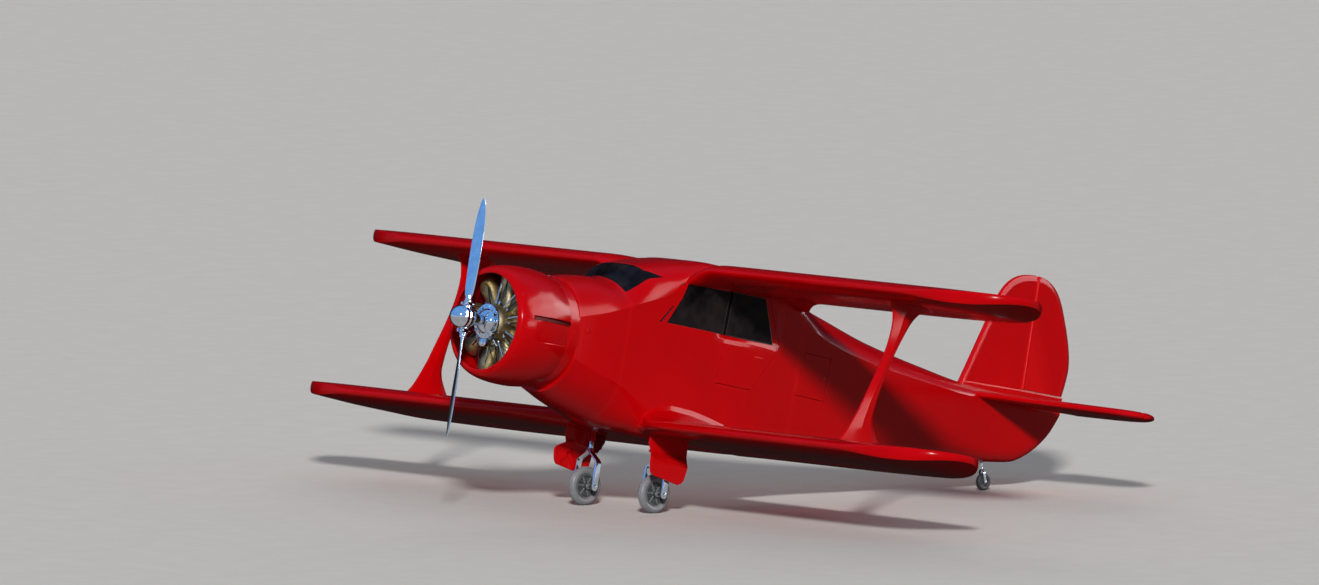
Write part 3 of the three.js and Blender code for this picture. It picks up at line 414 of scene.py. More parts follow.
def rounded(outline: list | np.ndarray, radius: float, steps: int = 5) -> np.ndarray:
    """Outline with each corner turned into an arc.

    Args:
        outline: the corners of a closed outline.
        radius: how far from its corner an arc starts, at most just under half a side.
        steps: the points on each arc.

    Returns:
        The rounded outline.
    """
    most = 0.45
    points = np.asarray(outline, float)
    found = []
    for k, corner in enumerate(points):
        before = points[k - 1] - corner
        after = points[(k + 1) % len(points)] - corner
        start = corner + before * min(most, radius / np.linalg.norm(before))
        end = corner + after * min(most, radius / np.linalg.norm(after))
        for t in np.linspace(0, 1, steps):
            found.append((1 - t) ** 2 * start + 2 * t * (1 - t) * corner + t ** 2 * end)
    return np.array(found)


def curved_outline(rows: list, steps: int = 12) -> np.ndarray:
    """Outline from rows of points.

    Args:
        rows: one point for a straight run, or three for a curve from the last point.
        steps: the points on each curve.

    Returns:
        The outline's points.
    """
    found = [np.array(rows[0][0], float)]
    for row in rows[1:]:
        if len(row) == 1:
            found.append(np.array(row[0], float))
            continue
        p0, p1, p2, p3 = found[-1], *(np.array(p, float) for p in row)
        for t in np.linspace(0, 1, steps + 1)[1:]:
            u = 1 - t
            found.append(u ** 3 * p0 + 3 * u * u * t * p1 + 3 * u * t * t * p2 + t ** 3 * p3)
    return np.array(found)


def smooth_path(points: list, steps: int) -> np.ndarray:
    """Smooth path through a few points.

    Args:
        points: the points that it passes.
        steps: the points wanted on it.

    Returns:
        The path's points.
    """
    rows = np.array(points, float)
    t = np.arange(len(rows), dtype=float)
    asked = np.linspace(0, len(rows) - 1, steps)
    return np.column_stack([smooth_column(t, column, asked) for column in rows.T])


def side_counts(outline: np.ndarray, gap: float) -> list[int]:
    """How many parts each side of an outline needs so that none is longer than a gap."""
    sides = np.linalg.norm(np.roll(outline, -1, axis=0) - outline, axis=1)
    return [max(1, int(math.ceil(side / gap))) for side in sides]


def divided(outline: np.ndarray, counts: list[int]) -> np.ndarray:
    """Outline with each of its sides divided into the parts given."""
    ahead = np.roll(outline, -1, axis=0)
    return np.array([a + (b - a) * k / n for a, b, n in zip(outline, ahead, counts) for k in range(n)])


def filled(outline: list | np.ndarray, gap: float) -> np.ndarray:
    """Outline with points added so that no side is longer than a gap."""
    points = np.asarray(outline, float)
    return divided(points, side_counts(points, gap))


def lift(outline: np.ndarray, plane: Plane, height: float | np.ndarray) -> np.ndarray:
    """Ring of points in the aircraft's axes over a flat outline.

    Args:
        outline: the outline's points.
        plane: the plane that it is drawn in.
        height: how far the ring stands from that plane.

    Returns:
        Rows of aft, port and up.
    """
    a, b, c = plane.value
    ring = np.zeros((len(outline), 3))
    ring[:, a], ring[:, b], ring[:, c] = outline[:, 0], outline[:, 1], height
    return ring


def square_to(way: np.ndarray) -> np.ndarray:
    """Level direction square to another, or one square to the aft axis where that one is steep."""
    return np.cross([1.0, 0.0, 0.0] if abs(way[2]) >= 0.9 else [0.0, 0.0, 1.0], way)


class Shape:
    """Points and faces in one set of axes, in millimetres, before they become an object."""

    # Share of a bevel at which its middle ring stands, which rounds it
    EASE = 0.3

    def __init__(self) -> None:
        """Starts empty."""
        self.blocks: list[np.ndarray] = []
        self.faces: list[tuple[int, ...]] = []
        self.total = 0

    def add(self, points: np.ndarray, faces: list) -> "Shape":
        """Adds points and the faces between them.

        Args:
            points: rows of aft, port and up.
            faces: the numbers of each face's points in those rows.

        Returns:
            The same shape.
        """
        block = np.asarray(points, float).reshape(-1, 3)
        self.faces.extend(tuple(int(k) + self.total for k in face) for face in faces)
        self.blocks.append(block)
        self.total += len(block)
        return self

    def loft(self, rings: list | np.ndarray, ends: bool = True) -> "Shape":
        """Adds a skin through closed rings.

        Args:
            rings: the rings in order, all with the same count of points.
            ends: whether the first and last ring are filled.

        Returns:
            The same shape.
        """
        rings = np.asarray(rings, float)
        rows, count = rings.shape[:2]
        faces = []
        for first in range(0, (rows - 1) * count, count):
            for k in range(count):
                a, b = first + k, first + (k + 1) % count
                faces.append((a, b, b + count, a + count))
        if ends:
            faces.append(tuple(reversed(range(count))))
            faces.append(tuple(range((rows - 1) * count, rows * count)))
        return self.add(rings, faces)

    def lathe(self, profile: list, centre: tuple = (0, 0, 0), axis: tuple = Axis.AFT.value,
              segments: int = 48, loop: bool = False) -> "Shape":
        """Adds a turned body.

        Args:
            profile: pairs of the distance along the axis and the radius.
            centre: where the axis starts.
            axis: the axis's direction.
            segments: the sides of each ring.
            loop: whether the profile closes on itself, clear of the axis.

        Returns:
            The same shape.
        """
        along = np.asarray(axis, float) / np.linalg.norm(axis)
        u = square_to(along)
        u /= np.linalg.norm(u)
        v = np.cross(along, u)
        turn = np.linspace(0, 2 * math.pi, segments, endpoint=False)
        ring = np.cos(turn)[:, None] * u + np.sin(turn)[:, None] * v
        rows = list(profile) + ([profile[0]] if loop else [])
        start = np.asarray(centre, float)
        return self.loft([start + along * reach + ring * radius for reach, radius in rows], not loop)

    def rod(self, start: tuple, end: tuple, radius: float, end_radius: float | None = None,
            segments: int = 20, bevel: float = 0.0) -> "Shape":
        """Adds a round bar.

        Args:
            start: the middle of one end.
            end: the middle of the other.
            radius: its radius at the start.
            end_radius: its radius at the end, the same if left out.
            segments: the sides of its section.
            bevel: how far its ends are eased.

        Returns:
            The same shape.
        """
        start, end = np.asarray(start, float), np.asarray(end, float)
        length = float(np.linalg.norm(end - start))
        last = radius if end_radius is None else end_radius
        profile = [(0, radius), (length, last)]
        if bevel > 0:
            b = min(bevel, length / 3)
            mid = b * self.EASE
            profile = [(0, radius - b), (mid, radius - mid), (b, radius), (length - b, last),
                       (length - mid, last - mid), (length, last - b)]
        return self.lathe(profile, start, (end - start) / length, segments)

    def tube(self, path: np.ndarray, radius: float, segments: int = 10, loop: bool = False) -> "Shape":
        """Adds a round tube.

        Args:
            path: the points that its middle passes.
            radius: its radius.
            segments: the sides of its section.
            loop: whether the path closes on itself.

        Returns:
            The same shape.
        """
        path = np.asarray(path, float)
        if loop:
            ahead = np.roll(path, -1, axis=0) - np.roll(path, 1, axis=0)
        else:
            ahead = np.gradient(path, axis=0)
        ahead /= np.linalg.norm(ahead, axis=1)[:, None]
        side = square_to(ahead[0])
        turn = np.linspace(0, 2 * math.pi, segments, endpoint=False)[:, None]
        rings = []
        for point, along in zip(path, ahead):
            side = side - along * np.dot(side, along)
            side /= np.linalg.norm(side)
            rings.append(point + radius * (np.cos(turn) * side + np.sin(turn) * np.cross(along, side)))
        if loop:
            rings.append(rings[0])
        return self.loft(rings, not loop)

    def slab(self, outline: list | np.ndarray, plane: Plane, low: float, high: float,
             bevel: float = 0.0) -> "Shape":
        """Adds a plate over an outline.

        Args:
            outline: the plate's outline.
            plane: the plane that it is drawn in.
            low: where the plate starts, square to that plane.
            high: where it ends.
            bevel: how far its rims are eased.

        Returns:
            The same shape.
        """
        steps = [(low, 0.0), (high, 0.0)]
        if bevel > 0:
            mid = bevel * self.EASE
            steps = [(low, bevel), (low + mid, mid), (low + bevel, 0.0)]
            steps += [(high - bevel, 0.0), (high - mid, mid), (high, bevel)]
        points = np.asarray(outline, float)
        rims = [(inset(points, shrink) if shrink else points, height) for height, shrink in steps]
        return self.loft([lift(rim_points, plane, height) for rim_points, height in rims])

    def block(self, aft: tuple, port: tuple, up: tuple, bevel: float = 0.0) -> "Shape":
        """Adds a box between two values on each axis, its level rims eased by a bevel."""
        corners = [(aft[0], port[0]), (aft[1], port[0]), (aft[1], port[1]), (aft[0], port[1])]
        return self.slab(corners, Plane.PLAN, up[0], up[1], bevel)


def starboard(name: str) -> str:
    """Name of the starboard one of a pair, from that of the port one."""
    return name.replace("port", "starboard")


@dataclass(frozen=True)
class Stud:
    """Sizes of one repeated turned part: a rivet, bolt head or spoke."""

    base: float
    top: float
    height: float
    sides: int = 12
    sink: float = 0.5


@dataclass
class Workshop:
    """Turns shapes into finished objects and hands them to the frame."""

    axes: BodyAxes
    upright: BodyAxes
    paint: PaintShop = field(default_factory=PaintShop)

    # Points closer than this are one, and edges shorter than this are none, in metres
    MERGE = 1.5e-5
    SLIVER = 1e-6
    # Angle in degrees above which the edges of small turned parts stay sharp
    STUD_CREASE = 28.0
    # Seed of the turn about its own axis that each of them gets
    STUD_SEED = 7

    def link(self, name: str, data: ID) -> Object:
        """New object of a mesh or other data, linked to the scene.

        Args:
            name: its name.
            data: what it shows.

        Returns:
            The object.
        """
        made = bpy.data.objects.new(name, data)
        bpy.context.scene.collection.objects.link(made)
        return made

    def solid(self, shape: Shape, name: str, axes: BodyAxes | None = None) -> Object:
        """Object of a shape, in metres, merged and with its faces turned outwards.

        Args:
            shape: the shape.
            name: the object's name.
            axes: the shape's axes, the aircraft's own if left out.

        Returns:
            The object, linked to the scene.
        """
        points = (axes or self.axes).world(np.vstack(shape.blocks))
        mesh = bpy.data.meshes.new(name)
        mesh.from_pydata(points.tolist(), [], shape.faces)
        work = bmesh.new()
        work.from_mesh(mesh)
        bmesh.ops.remove_doubles(work, verts=work.verts, dist=self.MERGE)
        bmesh.ops.dissolve_degenerate(work, dist=self.SLIVER, edges=work.edges)
        bmesh.ops.recalc_face_normals(work, faces=work.faces)
        work.to_mesh(mesh)
        work.free()
        return self.link(name, mesh)

    def apply(self, made: Object) -> None:
        """Bakes an object's modifiers into its mesh and removes them.

        Args:
            made: the object.
        """
        graph = bpy.context.evaluated_depsgraph_get()
        mesh = bpy.data.meshes.new_from_object(made.evaluated_get(graph))
        old = made.data
        made.modifiers.clear()
        made.data = mesh
        bpy.data.meshes.remove(old)

    def carve(self, made: Object, *tools: Shape, keep: bool = False) -> None:
        """Cuts shapes out of an object.

        Args:
            made: the object.
            tools: the shapes, in the aircraft's own axes.
            keep: whether only what lies inside them stays, instead of what lies outside.
        """
        helpers = [self.solid(tool, "cutter") for tool in tools]
        for helper in helpers:
            cutter = made.modifiers.new("cut", "BOOLEAN")
            cutter.operation = "INTERSECT" if keep else "DIFFERENCE"
            cutter.solver = "EXACT"
            cutter.object = helper
        self.apply(made)
        for helper in helpers:
            bpy.data.objects.remove(helper)

    def join(self, made: Object, shape: Shape) -> None:
        """Adds a shape's faces to an object.

        Args:
            made: the object.
            shape: the shape, in the aircraft's own axes.
        """
        other = self.solid(shape, "joined")
        work = bmesh.new()
        work.from_mesh(made.data)
        work.from_mesh(other.data)
        work.to_mesh(made.data)
        work.free()
        bpy.data.objects.remove(other)

    def mark(self, made: Object, chosen: Callable) -> None:
        """Gives some faces of an object its second finish.

        Args:
            made: the object, in its final shape.
            chosen: tells from the aft, port and up of the faces' middles which ones are meant.
        """
        faces = made.data.polygons
        middles = self.axes.local(np.array([face.center[:] for face in faces]))
        for k in np.nonzero(chosen(*middles.T))[0]:
            faces[int(k)].material_index = 1

    def hand_over(self, made: Object, slot: str, node: str, body: str) -> Object:
        """Ties an object to the frame.

        Args:
            made: the object, shaded and painted.
            slot: the record's material slot, or nothing; not used.
            node: the CAD node that it stands for, or nothing.
            body: the CAD body that it moves with.

        Returns:
            The same object.
        """
        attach(made, body)
        if node:
            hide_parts(node)
        count = sum(len(face.vertices) - 2 for face in made.data.polygons)
        LOG.info("piece %s: %d triangles on %s", made.name, count, body)
        return made

    def finish(self, made: Object, finishes: list[Finish], node: str = "", crease: float = 32.0,
               body: str = "airframe") -> Object:
        """Shades, paints and hands over an object.

        Args:
            made: the object, in its final shape.
            finishes: its finishes, in the order of its faces' numbers.
            node: the CAD node that it stands for, if any.
            crease: the angle in degrees above which an edge stays sharp.
            body: the CAD body that it moves with.

        Returns:
            The same object.
        """
        mesh = made.data
        marks = [face.material_index for face in mesh.polygons]
        mesh.materials.clear()
        for finish in finishes:
            mesh.materials.append(self.paint.material(finish))
        mesh.polygons.foreach_set("material_index", marks)
        mesh.shade_smooth()
        mesh.set_sharp_from_angle(angle=math.radians(crease))
        return self.hand_over(made, finishes[0].slot, node, body)

    def piece(self, shape: Shape, name: str, finish: Finish, node: str = "", crease: float = 32.0,
              body: str = "airframe", axes: BodyAxes | None = None) -> Object:
        """Finished object straight from a shape."""
        return self.finish(self.solid(shape, name, axes), [finish], node, crease, body)

    def pair(self, made: Shape | Object, name: str, finish: Finish, node: str = "",
             crease: float = 32.0, body: str = "airframe") -> list[Object]:
        """Finished port object and its mirror image to starboard.

        Args:
            made: the port object in its final shape, or its shape.
            name: the port object's name.
            finish: the finish of both.
            node: the CAD node that the port one stands for, if any.
            crease: the angle in degrees above which an edge stays sharp.
            body: the CAD body that the port one moves with.

        Returns:
            The port object and the starboard one.
        """
        solid = self.solid(made, name) if isinstance(made, Shape) else made
        port = self.finish(solid, [finish], node, crease, body)
        mesh = port.data.copy()
        mesh.name = starboard(name)
        mesh.transform(Matrix.Diagonal((1, -1, 1, 1)))
        mesh.flip_normals()
        other = self.link(starboard(name), mesh)
        return [port, self.hand_over(other, finish.slot, starboard(node), starboard(body))]

    def repaint(self, nodes: dict, finish: Finish, *names: str) -> None:
        """Gives carried-over CAD nodes a finish.

        Args:
            nodes: the frame's objects by name.
            finish: the finish.
            names: which of them are meant.
        """
        for name in names:
            for place in nodes[name].material_slots:
                place.material = self.paint.material(finish)
            LOG.info("node %s: painted %s", name, finish.name)

    def scatter(self, places: list, facings: list, name: str, finish: Finish, size: Stud,
                body: str = "airframe", axes: BodyAxes | None = None) -> None:
        """Repeats one small turned part over places, by Geometry Nodes.

        Args:
            places: points in the axes, in millimetres.
            facings: the way each part points, in the same axes.
            name: the object's name.
            finish: the parts' finish.
            size: the part's sizes.
            body: the CAD body that they move with.
            axes: the axes, the aircraft's own if left out.
        """
        used = axes or self.axes
        points = used.world(np.array(places, float))
        ahead = used.world(np.array(places, float) + np.array(facings, float)) - points
        ahead /= np.linalg.norm(ahead, axis=1)[:, None]
        mesh = bpy.data.meshes.new(name)
        mesh.from_pydata(points.tolist(), [], [])
        facing = mesh.attributes.new("facing", "FLOAT_VECTOR", "POINT")
        facing.data.foreach_set("vector", ahead.ravel())
        made = self.link(name, mesh)
        repeat = made.modifiers.new("repeat", "NODES")
        repeat.node_group = stud_group()
        values = {"Base Radius": size.base * MM, "Top Radius": size.top * MM, "Height": size.height * MM,
                  "Sides": size.sides, "Sink": size.sink * MM, "Seed": self.STUD_SEED,
                  "Finish": self.paint.material(finish)}
        for item in repeat.node_group.interface.items_tree:
            if item.item_type == "SOCKET" and item.in_out == "INPUT" and item.name in values:
                repeat[item.identifier] = values[item.name]
        self.apply(made)
        self.finish(made, [finish], crease=self.STUD_CREASE, body=body)


def stud_group() -> NodeTree:
    """Node group that puts a turned part on every point, facing the way the point's attribute says.

    Returns:
        The group, made the first time that it is asked for.
    """
    found = bpy.data.node_groups.get("studs")
    if found:
        return found
    tree = bpy.data.node_groups.new("studs", "GeometryNodeTree")
    sockets = {"Geometry": "Geometry", "Base Radius": "Float", "Top Radius": "Float", "Height": "Float",
               "Sides": "Int", "Sink": "Float", "Seed": "Int", "Finish": "Material"}
    for name, kind in sockets.items():
        tree.interface.new_socket(name, in_out="INPUT", socket_type=f"NodeSocket{kind}")
    tree.interface.new_socket("Geometry", in_out="OUTPUT", socket_type="NodeSocketGeometry")
    given = tree.nodes.new("NodeGroupInput").outputs
    cone = add_node(tree, "GeometryNodeMeshCone", {
        "Vertices": given["Sides"], "Radius Top": given["Top Radius"], "Radius Bottom": given["Base Radius"],
        "Depth": given["Height"]})
    down = add_node(tree, "ShaderNodeMath", {0: given["Sink"], 1: -1.0}, operation="MULTIPLY")
    shift = add_node(tree, "ShaderNodeCombineXYZ", {"Z": down.outputs[0]})
    sunk = add_node(tree, "GeometryNodeTransform", {
        "Geometry": cone.outputs["Mesh"], "Translation": shift.outputs[0]})
    facing = add_node(tree, "GeometryNodeInputNamedAttribute", {"Name": "facing"}, data_type="FLOAT_VECTOR")
    turned = add_node(tree, "FunctionNodeAlignRotationToVector", {
        "Vector": facing.outputs["Attribute"]}, axis="Z")
    copies = add_node(tree, "GeometryNodeInstanceOnPoints", {
        "Points": given["Geometry"], "Instance": sunk.outputs[0], "Rotation": turned.outputs[0]})
    angle = add_node(tree, "FunctionNodeRandomValue", {
        "Min": (0.0, 0.0, 0.0), "Max": (0.0, 0.0, 6.283), "Seed": given["Seed"]}, data_type="FLOAT_VECTOR")
    clocked = add_node(tree, "GeometryNodeRotateInstances", {
        "Instances": copies.outputs[0], "Rotation": angle.outputs[0]})
    real = add_node(tree, "GeometryNodeRealizeInstances", {"Geometry": clocked.outputs[0]})
    painted = add_node(tree, "GeometryNodeSetMaterial", {
        "Geometry": real.outputs[0], "Material": given["Finish"]})
    out = tree.nodes.new("NodeGroupOutput")
    tree.links.new(painted.outputs[0], out.inputs[0])
    return tree


# Fuselage: aft, crown and keel heights, half width, heights where the flat side ends above and below,
# exponents of the rounded top and bottom, and the angles in degrees at which those start from the side
FUSELAGE = [
    (1020, 562, -600, 530, 190, -225, 2.2, 2.0, 24, 20),
    (1300, 612, -705, 565, 268, -320, 2.3, 2.0, 24, 20),
    (1620, 645, -795, 585, 385, -405, 1.8, 2.2, 24, 20),
    (1760, 740, -825, 588, 440, -470, 2.2, 2.8, 24, 18),
    (1890, 824, -845, 590, 490, -535, 3.0, 3.4, 24, 14),
    (1950, 838, -850, 590, 512, -560, 3.2, 3.6, 24, 12),
    (2130, 880, -865, 590, 585, -600, 3.4, 5.0, 22, 5),
    (2380, 932, -876, 590, 700, -600, 3.4, 5.0, 12, 0),
    (2700, 966, -884, 588, 720, -600, 5.0, 5.0, 0, 0),
    (3100, 944, -884, 580, 720, -600, 5.0, 5.0, 0, 0),
    (3500, 880, -866, 565, 690, -590, 4.5, 4.0, 0, 0),
    (3950, 782, -812, 520, 560, -560, 3.0, 2.4, 0, 0),
    (4400, 688, -762, 470, 400, -520, 2.0, 2.2, 20, 0),
    (5200, 496, -668, 375, 270, -440, 1.9, 2.1, 24, 0),
    (6000, 366, -573, 275, 205, -380, 1.9, 2.0, 22, 0),
    (6600, 290, -500, 195, 165, -330, 1.9, 2.0, 10, 0),
    (7200, 262, -432, 122, 150, -290, 2.0, 2.0, 0, 0),
    (7400, 255, -402, 98, 150, -260, 2.0, 2.0, 0, 0),
    (7600, 248, -303, 76, 150, -180, 2.0, 2.0, 0, 0),
    (7740, 243, -192, 58, 150, -90, 2.0, 2.0, 0, 0),
    (7870, 236, -42, 40, 150, 30, 2.0, 2.0, 0, 0),
    (7965, 228, 130, 22, 180, 160, 2.0, 2.0, 0, 0),
]
ARCH_POINTS = 49
SIDE_POINTS = 34
# Windshield: front edge and its half width, then the rear edge as aft and port from the middle outwards
WINDSHIELD = {"front": 1632.0, "half": 435.0, "low": 380.0}
WINDSHIELD_REAR = [(1883, 0), (1884, 120), (1885, 240), (1889, 350), (1912, 385), (1950, 420),
                   (2000, 462), (2055, 502)]
SIDE_WINDOW = [(2310, 712), (2255, 560), (2099, 291), (3559, 271), (3372, 711)]
FRONT_WINDOW = [(2310, 712), (2255, 560), (2099, 291), (2863, 281), (2884, 713)]
DOOR_WINDOW = [(2929, 715), (2906, 280), (3559, 271), (3372, 711)]
SLIVER_WINDOW = [(2152, 477), (1999, 284), (2034, 284), (2165, 452)]
DOOR = [(2854, -202), (2889, 274), (2914, 728), (3432, 728), (3653, 274), (3336, -209)]
HATCH = [(4045, 258), (3996, -169), (4401, -177), (4420, 250)]
CABIN = {"front": 1660.0, "rear": 3560.0, "floor": -430.0, "roof": 735.0}
# Where the side rolls in under the rear cabin window: its ends, where it fades in and out, its foot and size
SHOULDER = {"front": 2730, "fade_in": 130, "rear": 3680, "fade_out": 90, "low": 196, "tall": 84, "deep": 26.0}
# Post between the two port panes: its edges at its foot, how far it leans aft per millimetre up, and its ends
POST = {"front": 2860, "rear": 2909, "lean": 21 / 431, "low": 281, "high": 716, "port": 400}


def arch(start: float, end: float, exponent: float, angle: float, half: float) -> np.ndarray:
    """Half ring from the port end of the flat side over to the starboard one.

    Args:
        start: height of the flat side's end.
        end: height of the crown.
        exponent: how square the arch is.
        angle: the angle in degrees at which it leaves the flat side.
        half: half its width.

    Returns:
        Rows of port and up.
    """
    theta = np.linspace(math.radians(angle), math.pi - math.radians(angle), ARCH_POINTS)
    power = 2 / exponent
    foot = math.sin(math.radians(angle)) ** power
    wide = math.cos(math.radians(angle)) ** power
    port = np.sign(np.cos(theta)) * np.abs(np.cos(theta)) ** power / wide * half
    rise = (np.sin(theta) ** power - foot) / (1 - foot)
    return np.column_stack([port, start + (end - start) * rise])


def shoulder(aft: np.ndarray, up: np.ndarray) -> np.ndarray:
    """How far the side rolls in just under the rear cabin window.

    Args:
        aft: places along the body.
        up: their heights.

    Returns:
        The distances.
    """
    along = np.clip((aft - SHOULDER["front"]) / SHOULDER["fade_in"], 0, 1)
    along = along * np.clip((SHOULDER["rear"] - aft) / SHOULDER["fade_out"], 0, 1)
    rise = np.clip((up - SHOULDER["low"]) / SHOULDER["tall"], 0, 1)
    return SHOULDER["deep"] * along * rise ** 2


def fuselage_rings(stations: np.ndarray, shrink: float = 0.0) -> np.ndarray:
    """Rings of the fuselage skin, each from the port sill over the top and round.

    Args:
        stations: where the rings stand.
        shrink: how far they are moved in.

    Returns:
        The rings, as rows of aft, port and up.
    """
    rings = []
    for aft, crown, keel, half, sill, chine, top, bottom, lean, tuck in smooth_table(FUSELAGE, stations):
        over = arch(sill, crown - shrink, top, lean, half - shrink)
        under = arch(chine, keel + shrink, bottom, tuck, half - shrink)[::-1]
        side = np.linspace(sill, chine, SIDE_POINTS)[1:-1]
        right = np.column_stack([np.full(len(side), shrink - half), side])
        left = np.column_stack([np.full(len(side), half - shrink), side[::-1]])
        ring = np.vstack([over, right, under, left])
        roll = shoulder(np.full(len(ring), aft), ring[:, 1]) * (np.abs(ring[:, 0]) > half - shrink - 1)
        ring[:, 0] -= np.sign(ring[:, 0]) * roll
        rings.append(np.column_stack([np.full(len(ring), aft), ring]))
    return np.array(rings)


def deck_height(aft: float, port: np.ndarray, shrink: float = 0.0) -> np.ndarray:
    """Height of the fuselage's rounded top.

    Args:
        aft: the station.
        port: places to port there.
        shrink: how far the skin is moved in.

    Returns:
        The heights.
    """
    row = smooth_table(FUSELAGE, np.array([aft]))[0]
    crown, half, sill, top, lean = row[1] - shrink, row[3] - shrink, row[4], row[6], math.radians(row[8])
    power = 2 / top
    share = np.clip(np.abs(port) / half, 0, 1) * math.cos(lean) ** power
    theta = np.arccos(np.clip(share ** (1 / power), 0, 1))
    foot = math.sin(lean) ** power
    return sill + (crown - sill) * (np.sin(theta) ** power - foot) / (1 - foot)


def side_half(aft: float) -> float:
    """Half width of the flat side at a station."""
    return float(smooth_table(FUSELAGE, np.array([aft]))[0][3])


def windshield_edge(steps: int) -> np.ndarray:
    """Rear edge of the windshield from port to starboard.

    Args:
        steps: the points on each half of it.

    Returns:
        Rows of aft and port.
    """
    rear = np.array(WINDSHIELD_REAR, float)
    places = np.linspace(0, len(rear) - 1, steps)
    edge = np.column_stack([smooth_column(np.arange(float(len(rear))), column, places) for column in rear.T])
    return np.vstack([edge[::-1], edge[1:] * np.array([1, -1])])


def on_post(aft: np.ndarray, port: np.ndarray, up: np.ndarray) -> np.ndarray:
    """Whether places lie on the leaning post between the two port panes.

    Args:
        aft: how far aft they are.
        port: how far to port.
        up: their heights.

    Returns:
        True for each place that does.
    """
    lean = (up - POST["low"]) * POST["lean"]
    tall = (port > POST["port"]) & (up > POST["low"] - 2) & (up < POST["high"])
    return tall & (aft > POST["front"] + lean) & (aft < POST["rear"] + lean)


def prism(outline: list | np.ndarray, inner: float, outer: float) -> Shape:
    """Cutter over an outline of aft and up, between two distances to port."""
    return Shape().slab(outline, Plane.SIDE, inner, outer)


